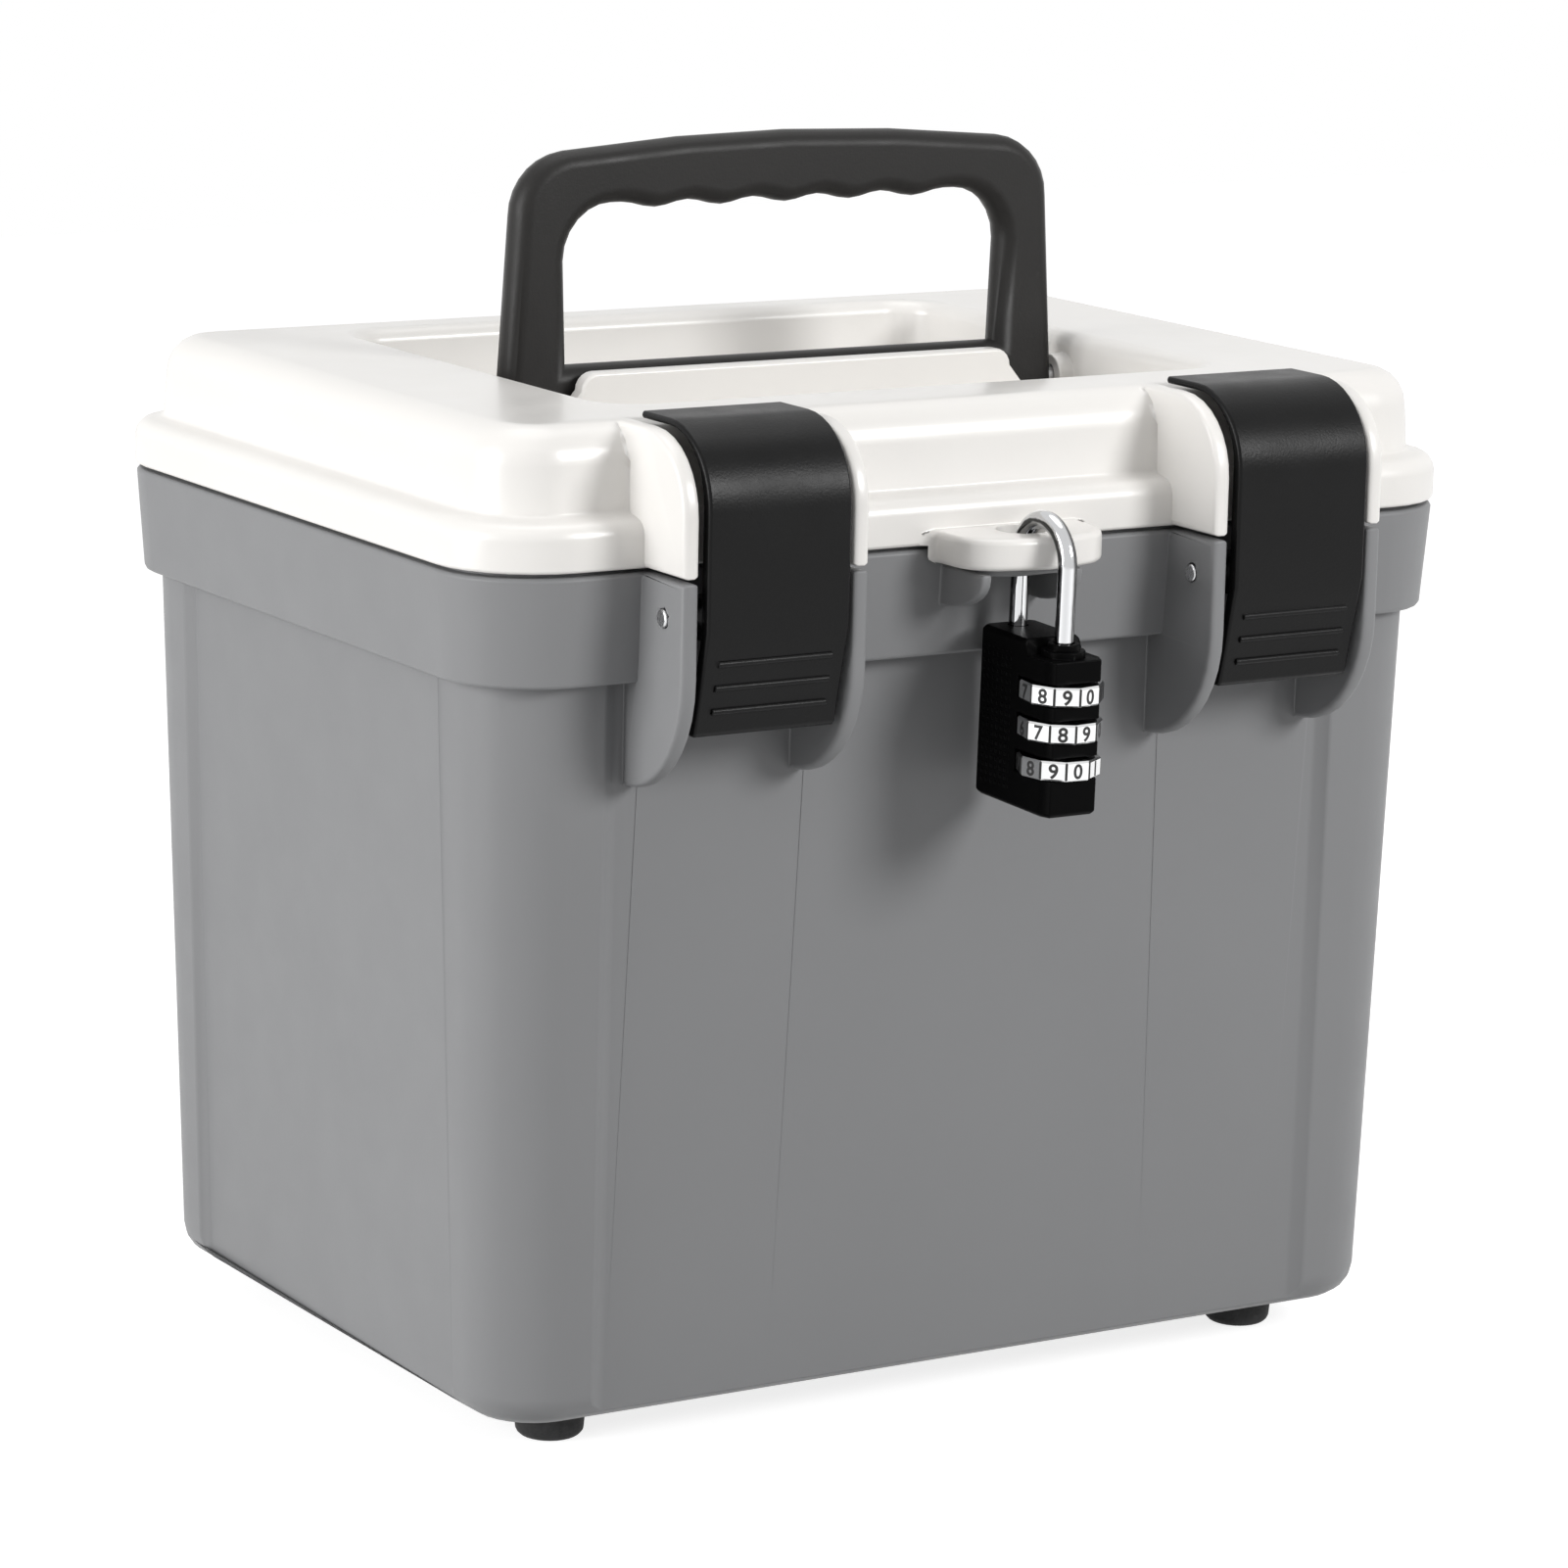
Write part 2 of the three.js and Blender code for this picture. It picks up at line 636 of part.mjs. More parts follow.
function foot(x, y) {
  const top = FOOT_HEIGHT - CLEAR;
  const profile = [
    [0, 0],
    [FOOT_RADIUS - FOOT_TAPER - FOOT_EDGE, 0],
    [FOOT_RADIUS - FOOT_TAPER, FOOT_EDGE],
    [FOOT_RADIUS, top],
    [FOOT_STEM_RADIUS, top],
    [FOOT_STEM_RADIUS, FOOT_HEIGHT + CASE_FLOOR],
    [0, FOOT_HEIGHT + CASE_FLOOR],
  ].map(([radius, z]) => new THREE.Vector2(radius, z));
  const geometry = new THREE.LatheGeometry(profile, ROUND_STEPS);
  geometry.rotateX(Math.PI / 2);
  geometry.translate(x, y, 0);
  return toSolid(geometry);
}

for (const { name, x, y } of footPlaces) addPiece(name, foot(x, y), RUBBER);

// Lid

function lidRing(inset, z) {
  return roundedRect(rimHalf.x - inset, rimHalf.y - inset, RIM_CORNER - inset, z);
}

function lidOutside() {
  const rings = [lidRing(SKIRT_EDGE, skirtBottomZ), lidRing(0, skirtBottomZ + SKIRT_EDGE)];
  for (let step = 0; step <= 4; step += 1) {
    const angle = step / 4 * Math.PI / 2;
    rings.push(lidRing(
      SKIRT_ROUND * (1 - Math.cos(angle)),
      ledgeTopZ - SKIRT_ROUND * (1 - Math.sin(angle)) - 0.4,
    ));
  }
  rings.push(lidRing(DOME_INSET - DOME_FOOT, ledgeTopZ));
  rings.push(lidRing(DOME_INSET, ledgeTopZ + DOME_FOOT));
  for (let step = 0; step <= 5; step += 1) {
    const angle = step / 5 * Math.PI / 2;
    rings.push(lidRing(
      DOME_INSET + DOME_LEAN + DOME_FILLET * (1 - Math.cos(angle)),
      lidTopZ - DOME_FILLET * (1 - Math.sin(angle)),
    ));
  }
  return loft(rings);
}

function wellSolid(grow, topZ, bottomZ) {
  const halfY = (wellRearY - wellFrontY) / 2 + grow;
  const centreY = (wellRearY + wellFrontY) / 2;
  const ring = (more, z) => roundedRect(wellHalfX + grow + more, halfY + more, WELL_CORNER + grow + more, z, centreY, 5);
  const rings = [ring(-1, bottomZ), ring(0, bottomZ + 1)];
  for (let step = 0; step <= 3; step += 1) {
    const angle = step / 3 * Math.PI / 2;
    const more = grow > 0 ? 0 : WELL_EDGE * (1 - Math.cos(angle));
    rings.push(ring(more, lidTopZ - WELL_EDGE * (1 - Math.sin(angle))));
  }
  rings.push(ring(grow > 0 ? 0 : WELL_EDGE, topZ));
  return loft(rings);
}

function lidCavity() {
  const rings = [
    lidRing(WALL, skirtBottomZ - 1),
    lidRing(WALL, ledgeTopZ - WALL - 1.5),
    lidRing(DOME_INSET + DOME_LEAN + WALL, ledgeTopZ - WALL),
    lidRing(DOME_INSET + DOME_LEAN + WALL + 1, lidTopZ - WALL - 3),
    lidRing(DOME_INSET + DOME_LEAN + WALL + 5, lidTopZ - WALL),
  ];
  return loft(rings).subtract(wellSolid(WALL, lidTopZ + 2, wellFloorZ - WALL));
}

// The cheeks beside a latch carry its curve on down to the seam.
function cheekShape() {
  const radius = CHEEK_BEND_RADIUS;
  const topZ = lidTopZ + CHEEK_RISE;
  const domeY = frontY + DOME_INSET + DOME_LEAN + CHEEK_RISE;
  const flatY = frontY + domeTopInset;
  return outline([
    [domeY, skirtBottomZ],
    [domeY, lidTopZ - DOME_FILLET],
    [flatY, lidTopZ - 2 * WALL],
    [flatY, lidTopZ],
    [latchLipY, topZ],
    ...arcPoints(earFrontY + radius, topZ - radius, radius, radius, 90, 180, 8),
    [earFrontY, skirtBottomZ],
  ]);
}

function lidTab() {
  const low = tabBottomZ;
  const whole = plate(tabOutline(frontY + 3 * WALL), low, tabTopZ, TAB_EDGE, 3);
  const inside = box(-rimHalf.x, rimHalf.x, frontY + WALL - 0.1, 0, low - 1, tabTopZ + 1);
  const behind = box(-rimHalf.x, rimHalf.x, frontY - CLEAR - 0.2, 0, low - 1, skirtBottomZ);
  return cut(whole, [inside, behind]);
}

function pedestal() {
  const half = handleInnerHalf - PEDESTAL_SIDE_GAP;
  const rear = HANDLE_Y - HANDLE_DEPTH / 2 - PEDESTAL_GAP;
  const low = wellFloorZ - PEDESTAL_EDGE;
  const top = barTopZ - PEDESTAL_DROP;
  const corner = PEDESTAL_CORNER;
  const shape = outline([
    [-half - PEDESTAL_FLARE, low],
    [half + PEDESTAL_FLARE, low],
    ...arcPoints(half - corner, top - corner, corner, corner, 0, 90, 5),
    ...arcPoints(-half + corner, top - corner, corner, corner, 90, 180, 5),
  ]);
  const geometry = new THREE.ExtrudeGeometry(shape, {
    depth: PEDESTAL_WALL - 2 * PEDESTAL_EDGE,
    bevelThickness: PEDESTAL_EDGE,
    bevelSize: PEDESTAL_EDGE,
    bevelOffset: -PEDESTAL_EDGE,
    bevelSegments: 1,
  });
  geometry.rotateX(Math.PI / 2);
  geometry.translate(0, rear - PEDESTAL_EDGE, 0);
  return toSolid(geometry);
}

function handleBosses() {
  return [-1, 1].map((side) => rod(
    HANDLE_BOSS_RADIUS,
    [side * (HANDLE_BASE_HALF + 0.5), HANDLE_Y, handlePivotZ],
    [side * (wellHalfX + WALL / 2), HANDLE_Y, handlePivotZ],
    ROUND_STEPS,
  ));
}

function lidKnuckle([lowX, highX]) {
  const rear = rimHalf.y;
  const high = ledgeTopZ - SKIRT_ROUND - 0.4;
  const arm = slab(outline([
    [rear - WALL, hingeZ + 1.6],
    [hingeY - HINGE_RADIUS + 0.6, hingeZ + 1.6],
    [hingeY, hingeZ],
    [hingeY + HINGE_RADIUS, hingeZ],
    [rear, high],
    [rear - WALL, high],
  ]), lowX, highX);
  return arm.add(hingeBarrel(lowX, highX));
}

function lidShell() {
  const cheeks = [-latchX, latchX].flatMap((x) => latchSides(x))
    .map(([lowX, highX]) => slab(cheekShape(), lowX, highX, EAR_EDGE, 2));
  const hollow = cut(lidOutside(), [wellSolid(0, lidTopZ + 5, wellFloorZ), lidCavity()]);
  const cheekRear = loft([lidRing(WALL, skirtBottomZ - 3), lidRing(WALL, ledgeTopZ - WALL - 1.5)]);
  const outside = join([...cheeks.map((cheek) => cheek.subtract(cheekRear)), lidTab()]);
  const knuckles = [-hingeX, hingeX].map((x) => lidKnuckle(hingeSpans(x).lid));
  const whole = join([hollow, outside, ...knuckles, pedestal(), ...handleBosses()]);
  const shackleHole = rod(
    LUG_HOLE_RADIUS,
    [0, lugHoleY, tabBottomZ - 2],
    [0, lugHoleY, tabTopZ + LUG_GROOVE_RISE],
    ROUND_STEPS,
  );
  const hingeBores = [-hingeX, hingeX].map((x) => rod(
    HINGE_PIN_RADIUS + PIN_CLEAR,
    [x - HINGE_KNUCKLE, hingeY, hingeZ],
    [x + HINGE_KNUCKLE, hingeY, hingeZ],
  ));
  const pinBores = [-1, 1].map((side) => rod(
    HANDLE_PIN_RADIUS + PIN_CLEAR,
    [side * (HANDLE_BASE_HALF - 2), HANDLE_Y, handlePivotZ],
    [side * (wellHalfX + 2 * WALL), HANDLE_Y, handlePivotZ],
  ));
  return cut(whole, [shackleHole, ...hingeBores, ...pinBores]);
}

addPiece('lid_shell', lidShell(), WHITE_PLASTIC);

for (const [name, x] of [['hinge_pin_left', -hingeX], ['hinge_pin_right', hingeX]]) {
  const [lowX, highX] = hingeSpans(x).pin;
  addPiece(name, rod(HINGE_PIN_RADIUS, [lowX, hingeY, hingeZ], [highX, hingeY, hingeZ]), STEEL);
}

// Handle

function handleOutline() {
  const bottom = barTopZ - BAR_HEIGHT;
  const outer = [
    [HANDLE_BASE_HALF, bottom],
    ...arcPoints(HANDLE_TOP_HALF - HANDLE_CORNER, handleTopZ - HANDLE_CORNER, HANDLE_CORNER, HANDLE_CORNER, 0, 84, 7),
    [HANDLE_TOP_HALF * 0.4, handleTopZ + HANDLE_CROWN * 0.75],
    [0, handleTopZ + HANDLE_CROWN],
    [-HANDLE_TOP_HALF * 0.4, handleTopZ + HANDLE_CROWN * 0.75],
    ...arcPoints(-HANDLE_TOP_HALF + HANDLE_CORNER, handleTopZ - HANDLE_CORNER, HANDLE_CORNER, HANDLE_CORNER, 96, 180, 7),
    [-HANDLE_BASE_HALF, bottom],
  ];
  const shape = outline(outer);
  const under = handleTopZ - GRIP_HEIGHT;
  const corner = GRIP_CORNER;
  const reach = handleInnerHalf - corner;
  const waveHalf = GRIP_WAVES * GRIP_WAVE_PITCH / 2;
  const waves = [];
  const waveSteps = GRIP_WAVES * 6;
  for (let step = 0; step <= waveSteps; step += 1) {
    const share = step / waveSteps;
    const x = waveHalf - 2 * waveHalf * share;
    const wave = GRIP_WAVE_DEPTH * (1 - Math.cos(share * GRIP_WAVES * 2 * Math.PI)) / 2;
    waves.push([x, under - wave]);
  }
  const hole = outline([
    [handleInnerHalf - HANDLE_INNER_LEAN, barTopZ],
    ...arcPoints(reach, under - corner, corner, corner, 0, 90, 6),
    ...waves,
    ...arcPoints(-reach, under - corner, corner, corner, 90, 180, 6),
    [-handleInnerHalf + HANDLE_INNER_LEAN, barTopZ],
  ]);
  shape.holes.push(new THREE.Path(hole.getPoints()));
  return shape;
}

function handle() {
  const r = HANDLE_ROUND;
  const geometry = new THREE.ExtrudeGeometry(handleOutline(), {
    depth: HANDLE_DEPTH - 2 * r,
    bevelThickness: r,
    bevelSize: r,
    bevelOffset: -r,
    bevelSegments: 3,
  });
  geometry.rotateX(Math.PI / 2);
  geometry.translate(0, HANDLE_Y + HANDLE_DEPTH / 2 - r, 0);
  const bores = [-1, 1].map((side) => rod(
    HANDLE_PIN_RADIUS + PIN_CLEAR,
    [side * (HANDLE_BASE_HALF - HANDLE_PIN_BITE - 0.5), HANDLE_Y, handlePivotZ],
    [side * (HANDLE_BASE_HALF + 2), HANDLE_Y, handlePivotZ],
  ));
  const upper = box(-rimHalf.x, rimHalf.x, frontY, rimHalf.y, handlePivotZ, handleTopZ + 10);
  const turning = rod(
    HANDLE_DEPTH / 2,
    [-HANDLE_BASE_HALF - 1, HANDLE_Y, handlePivotZ],
    [HANDLE_BASE_HALF + 1, HANDLE_Y, handlePivotZ],
    ROUND_STEPS,
  );
  return cut(toSolid(geometry).intersect(upper.add(turning)), bores);
}

addPiece('handle', handle(), CHARCOAL_PLASTIC);

for (const [name, side] of [['handle_pin_left', -1], ['handle_pin_right', 1]]) {
  addPiece(name, rod(
    HANDLE_PIN_RADIUS,
    [side * (HANDLE_BASE_HALF - HANDLE_PIN_BITE), HANDLE_Y, handlePivotZ],
    [side * (wellHalfX + WALL + 0.6), HANDLE_Y, handlePivotZ],
  ), STEEL);
}

// Latches

function latchShape() {
  const topZ = lidTopZ + CLEAR + LATCH_LIP_THICK;
  const bend = LATCH_BEND_RADIUS;
  const innerBend = bend - LATCH_THICK;
  const innerY = latchFrontY + LATCH_THICK;
  const tailY = latchFrontY + LATCH_TAIL_IN;
  return outline([
    [latchLipY, topZ - LATCH_LIP_THICK],
    [latchLipY, topZ],
    ...arcPoints(latchFrontY + bend, topZ - bend, bend, bend, 90, 180, 10),
    [latchFrontY, latchKneeZ],
    [tailY, latchTailZ + LATCH_TAIL_EDGE],
    [tailY + LATCH_TAIL_EDGE, latchTailZ],
    [tailY + LATCH_THICK, latchTailZ],
    [innerY, latchKneeZ],
    ...arcPoints(innerY + innerBend, topZ - LATCH_LIP_THICK - innerBend, innerBend, innerBend, 180, 90, 9),
  ]);
}

function latch(centreX) {
  const low = centreX - LATCH_WIDTH / 2;
  const high = centreX + LATCH_WIDTH / 2;
  const cover = slab(latchShape(), low, high, LATCH_EDGE, 1);
  const web = slab(outline([
    [latchFrontY + 1.5, latchPivotZ + LATCH_BARREL_RADIUS],
    [latchFrontY + 1.5, latchPivotZ - LATCH_BARREL_RADIUS],
    [latchPivotY, latchPivotZ - LATCH_BARREL_RADIUS],
    [latchPivotY, latchPivotZ + LATCH_BARREL_RADIUS],
  ]), low + LATCH_EDGE, high - LATCH_EDGE);
  const barrel = rod(
    LATCH_BARREL_RADIUS,
    [low + LATCH_EDGE, latchPivotY, latchPivotZ],
    [high - LATCH_EDGE, latchPivotY, latchPivotZ],
    ROUND_STEPS,
  );
  const ridges = LATCH_RIDGE_DROPS.map((drop) => {
    const z = skirtBottomZ - drop;
    const y = latchFrontY + LATCH_TAIL_IN * (latchKneeZ - z) / (latchKneeZ - latchTailZ) + LATCH_RIDGE_SINK;
    return rod(
      LATCH_RIDGE_RADIUS,
      [centreX - LATCH_RIDGE_LENGTH / 2, y, z],
      [centreX + LATCH_RIDGE_LENGTH / 2, y, z],
      10,
    );
  });
  const bore = rod(
    LATCH_PIN_RADIUS + PIN_CLEAR,
    [low - 1, latchPivotY, latchPivotZ],
    [high + 1, latchPivotY, latchPivotZ],
  );
  return join([cover, web, barrel, ...ridges]).subtract(bore);
}

for (const [side, x] of [['left', -latchX], ['right', latchX]]) {
  addPiece(`latch_${side}`, latch(x), BLACK_PLASTIC);
  const reach = LATCH_WIDTH / 2 + EAR_SIDE_GAP + EAR_THICK + LATCH_PIN_PROUD;
  addPiece(`latch_pin_${side}`, rod(
    LATCH_PIN_RADIUS,
    [x - reach, latchPivotY, latchPivotZ],
    [x + reach, latchPivotY, latchPivotZ],
  ), STEEL);
}

// Padlock

function lockBody() {
  const half = LOCK_THICK / 2;
  const front = shackleFrontY - LOCK_FRONT;
  const rear = shackleRearY + LOCK_REAR;
  const plan = outline([
    [half - LOCK_REAR_CHAMFER, rear],
    [-half + LOCK_REAR_CHAMFER, rear],
    [-half, rear - LOCK_REAR_CHAMFER],
    [-half, front + LOCK_CHAMFER_Y],
    [-half + LOCK_CHAMFER_X, front],
    [half - LOCK_CHAMFER_X, front],
    [half, front + LOCK_CHAMFER_Y],
    [half, rear - LOCK_REAR_CHAMFER],
  ]);
  const stepY = shackleFrontY + LOCK_COLLAR_RADIUS;
  const shoulderZ = lockTopZ - LOCK_STEP;
  const side = slab(outline([
    [front, lockBottomZ],
    [rear - LOCK_HEEL, lockBottomZ],
    [rear, lockBottomZ + LOCK_HEEL],
    [rear, lockTopZ],
    [stepY, lockTopZ],
    [stepY - LOCK_STEP / 2, shoulderZ],
    [front, shoulderZ],
  ]), -half, half);
  const block = plate(plan, lockBottomZ, lockTopZ, LOCK_EDGE, 1).intersect(side);
  const longBore = rod(
    SHACKLE_RADIUS + LOCK_BORE_GAP,
    [0, shackleFrontY, lockBottomZ + LOCK_BASE],
    [0, shackleFrontY, lockTopZ + LOCK_NECK_HEIGHT],
  );
  const shortBore = rod(
    SHACKLE_RADIUS + LOCK_BORE_GAP,
    [0, shackleRearY, lockTopZ - SHORT_LEG_SEAT - 1],
    [0, shackleRearY, lockTopZ + 1],
  );
  const necks = [
    [LOCK_COLLAR_RADIUS, LOCK_COLLAR_HEIGHT],
    [LOCK_NECK_RADIUS, LOCK_NECK_HEIGHT],
  ].map(([radius, height]) => rod(
    radius,
    [0, shackleFrontY, shoulderZ - 1],
    [0, shackleFrontY, shoulderZ + height],
    ROUND_STEPS,
  ));
  const slots = dialZs.map((z) => rod(
    DIAL_RADIUS + CLEAR,
    [0, shackleFrontY, z - DIAL_THICK / 2 - CLEAR],
    [0, shackleFrontY, z + DIAL_THICK / 2 + CLEAR],
    ROUND_STEPS,
  ));
  return cut(join([block, ...necks]), [longBore, shortBore, ...slots]);
}

// A dial has ten flat faces, one for each digit, and stands at its own turn from facing the front.
function dial(z, turnDegrees) {
  const bore = SHACKLE_RADIUS + LOCK_BORE_GAP;
  const low = z - DIAL_THICK / 2;
  const high = z + DIAL_THICK / 2;
  const profile = [
    [0, low],
    [DIAL_RADIUS - DIAL_EDGE, low],
    [DIAL_RADIUS, low + DIAL_EDGE],
    [DIAL_RADIUS, high - DIAL_EDGE],
    [DIAL_RADIUS - DIAL_EDGE, high],
    [0, high],
  ].map(([radius, level]) => new THREE.Vector2(radius, level));
  const geometry = new THREE.LatheGeometry(profile, DIAL_FACES);
  geometry.rotateX(Math.PI / 2);
  geometry.rotateZ(THREE.MathUtils.degToRad(turnDegrees + 180 / DIAL_FACES));
  geometry.translate(0, shackleFrontY, 0);
  const shaft = rod(bore, [0, shackleFrontY, low - 1], [0, shackleFrontY, high + 1], ROUND_STEPS);
  return toSolid(geometry).subtract(shaft);
}

function shackle() {
  const radius = SHACKLE_SPAN / 2;
  const middleY = (shackleRearY + shackleFrontY) / 2;
  const lowFront = new THREE.Vector3(0, shackleFrontY, lockBottomZ + LOCK_BASE + 0.5);
  const highFront = new THREE.Vector3(0, shackleFrontY, shackleBowZ);
  const highRear = new THREE.Vector3(0, shackleRearY, shackleBowZ);
  const lowRear = new THREE.Vector3(0, shackleRearY, lockTopZ - SHORT_LEG_SEAT);
  const bowSteps = 12;
  const centres = [lowFront, highFront];
  for (let step = 1; step < bowSteps; step += 1) {
    const angle = Math.PI * (1 - step / bowSteps);
    centres.push(new THREE.Vector3(0, middleY + radius * Math.cos(angle), shackleBowZ + radius * Math.sin(angle)));
  }
  centres.push(highRear, lowRear);
  const count = 16;
  const rings = centres.map((centre, index) => {
    const isLeg = index < 2 || index > centres.length - 3;
    const lean = isLeg ? (index < 2 ? 0 : Math.PI) : Math.PI * (index - 1) / bowSteps;
    const side = new THREE.Vector3(0, Math.cos(lean), -Math.sin(lean));
    return Array.from({ length: count }, (_, step) => {
      const turn = step / count * 2 * Math.PI;
      return centre.clone()
        .add(new THREE.Vector3(SHACKLE_RADIUS * Math.cos(turn), 0, 0))
        .addScaledVector(side, SHACKLE_RADIUS * Math.sin(turn));
    });
  });
  return loft(rings);
}

addHangingPiece('padlock_body', lockBody(), BLACK_PLASTIC);
addHangingPiece('shackle', shackle(), CHROME);
for (const [index, name] of ['dial_top', 'dial_middle', 'dial_bottom'].entries()) {
  addHangingPiece(name, dial(dialZs[index], DIAL_TURNS[index]), SILVER);
}

// Tray

function tray() {
  const inside = wallHalf(ledgeZ);
  const inset = PANEL_DEPTH + WALL + TRAY_CLEAR;
  const halfX = inside.x - inset;
  const halfY = inside.y - inset;
  const flangeZ = ledgeZ + CLEAR;
  const flangeTop = flangeZ + TRAY_FLANGE_THICK;
  const bottom = flangeTop - TRAY_DEPTH;
  const corner = WALL_CORNER - inset;
  const bowl = loft([
    roundedRect(halfX - TRAY_DRAFT - 2, halfY - TRAY_DRAFT - 2, corner - 2, bottom),
    roundedRect(halfX - TRAY_DRAFT, halfY - TRAY_DRAFT, corner, bottom + 2),
    roundedRect(halfX, halfY, corner, flangeTop),
  ]);
  const flange = loft([
    roundedRect(halfX + TRAY_FLANGE, halfY + TRAY_FLANGE, corner + TRAY_FLANGE, flangeZ),
    roundedRect(halfX + TRAY_FLANGE, halfY + TRAY_FLANGE, corner + TRAY_FLANGE, flangeTop),
  ]);
  const pocket = loft([
    roundedRect(halfX - TRAY_DRAFT - TRAY_WALL - 2, halfY - TRAY_DRAFT - TRAY_WALL - 2, corner - TRAY_WALL - 2, bottom + TRAY_WALL),
    roundedRect(halfX - TRAY_DRAFT - TRAY_WALL, halfY - TRAY_DRAFT - TRAY_WALL, corner - TRAY_WALL, bottom + TRAY_WALL + 2),
    roundedRect(halfX - TRAY_WALL, halfY - TRAY_WALL, corner - TRAY_WALL, flangeTop + 1),
  ]);
  const ribTop = flangeTop - TRAY_RIB_DROP;
  const lengthways = box(-halfX + 1, halfX - 1, -TRAY_WALL / 2, TRAY_WALL / 2, bottom + 1, ribTop);
  const crossways = [-halfX / 3, halfX / 3].map((x) => (
    box(x - TRAY_WALL / 2, x + TRAY_WALL / 2, 0, halfY - 1, bottom + 1, ribTop)
  ));
  const inSight = bowl.add(flange).subtract(pocket);
  const ribs = join([lengthways, ...crossways]).intersect(bowl);
  const gripTools = [-1, 1].map((side) => box(
    side * (halfX - 6) - 8,
    side * (halfX - 6) + 8,
    -halfY / 2 - TRAY_GRIP_LENGTH / 2,
    -halfY / 2 + TRAY_GRIP_LENGTH / 2,
    flangeTop - TRAY_GRIP_DROP,
    flangeTop - TRAY_GRIP_DROP + TRAY_GRIP_HEIGHT,
  ));
  return cut(inSight.add(ribs), gripTools);
}

addPiece('lift_out_tray', tray(), TRAY_PLASTIC);

const whole = new THREE.Box3().setFromObject(group, true);
group.position.y = -(whole.min.y + whole.max.y) / 2;

export default group;
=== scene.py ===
"""Dresses the medication lock box: grey case, white domed lid, folding handle, latches and padlock."""

import json
import math

import bpy
from mathutils import Matrix, Vector


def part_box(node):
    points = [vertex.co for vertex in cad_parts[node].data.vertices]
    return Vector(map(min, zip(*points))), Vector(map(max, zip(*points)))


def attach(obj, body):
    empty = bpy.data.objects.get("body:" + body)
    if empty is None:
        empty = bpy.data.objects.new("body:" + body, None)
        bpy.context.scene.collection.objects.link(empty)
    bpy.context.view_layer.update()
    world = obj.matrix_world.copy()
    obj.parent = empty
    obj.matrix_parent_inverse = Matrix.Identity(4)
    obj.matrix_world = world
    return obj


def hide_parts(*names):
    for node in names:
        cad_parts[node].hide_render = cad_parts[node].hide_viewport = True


bl_info = {
    "name": "Medication Lock Box",
    "version": (1, 0, 0),
    "blender": (4, 5, 0),
    "location": "3D View > Sidebar > Lock Box",
    "description": "Models and finishes the pieces of a medication lock box on its CAD frame",
    "category": "Object",
}

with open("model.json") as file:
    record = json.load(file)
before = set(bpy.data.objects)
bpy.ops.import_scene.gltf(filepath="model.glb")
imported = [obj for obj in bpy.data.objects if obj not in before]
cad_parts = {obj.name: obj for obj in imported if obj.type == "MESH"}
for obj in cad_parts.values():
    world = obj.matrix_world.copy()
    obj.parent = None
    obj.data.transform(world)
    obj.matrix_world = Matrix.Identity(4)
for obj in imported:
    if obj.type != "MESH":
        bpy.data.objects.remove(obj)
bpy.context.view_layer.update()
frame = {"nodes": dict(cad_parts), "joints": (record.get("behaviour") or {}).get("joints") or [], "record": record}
bpy.ops.object.select_all(action="DESELECT")

MM = 0.001

# Cleaning and rounding of the copied CAD nodes
WELD = 0.003 * MM
COPLANAR = math.radians(0.6)
BEVEL_SHARE = 0.35
BEVEL_SEGMENTS = 3

# Beside a latch: how far its pin stands out of the ears, the gap to an ear, and how far off a cut stays
PIN_PROUD = 0.5 * MM
EAR_GAP = 1.25 * MM
CUT_MARGIN = 1.2 * MM

# Ends of the pins and of the shackle's wire
PIN_END_RADIUS = 0.45 * MM
PIN_END_SEGMENTS = 4
WIRE_END_RADIUS = 0.5 * MM
WIRE_END_ANGLE = math.radians(60)
WIRE_SIDES = 32
BOW_STEPS = 28

# Edges that turn more than this stay sharp in the shading
ROUND_BAR_SHARP = math.radians(40)
HANDLE_SHARP = math.radians(50)
DIAL_SHARP = math.radians(20)

# The square texture on the wide faces of the padlock's body
GRID_PITCH = 1.7 * MM
GRID_REAR_MARGIN = 2 * MM
GRID_END_MARGIN = 4 * MM

DIGITS_ON_DIAL = 10
DIGIT_SHARE_OF_SIZE = 0.7
DIGIT_CURVE_STEPS = 6
GROOVE_SIDES = 12

# Colours that the settings don't hold
RUBBER_COLOUR = (0.03, 0.03, 0.0305)
TRAY_COLOUR = (0.72, 0.715, 0.70)
PIN_COLOUR = (0.62, 0.62, 0.63)
DIAL_COLOUR = (0.22, 0.222, 0.226)
# Black of the digits' print, also used as painted shade inside the grooves between the dials' faces; the worn tone
# below covers both
DIGIT_PRINT_AND_GROOVE_SHADE_COLOUR = (0.006, 0.006, 0.006)
WORN_DIGIT_COLOUR = (0.05, 0.05, 0.05)
# Tones of the painted reflections on the shackle's chrome
CHROME_REFLECTION_TONES = {
    "bright": (0.6, 0.605, 0.615),
    "middle": (0.28, 0.28, 0.285),
    "dark": (0.05, 0.05, 0.05),
}
# Painted reflections: tone stops across the shackle's wire from its left side to its right side, 0 to 1, set by
# the normal
CHROME_PAINTED_REFLECTIONS = (
    (0.008, "dark"),
    (0.025, "bright"),
    (0.5, "bright"),
    (0.62, "middle"),
    (0.66, "dark"),
    (0.73, "dark"),
    (0.77, "bright"),
    (0.88, "middle"),
    (0.97, "dark"),
)

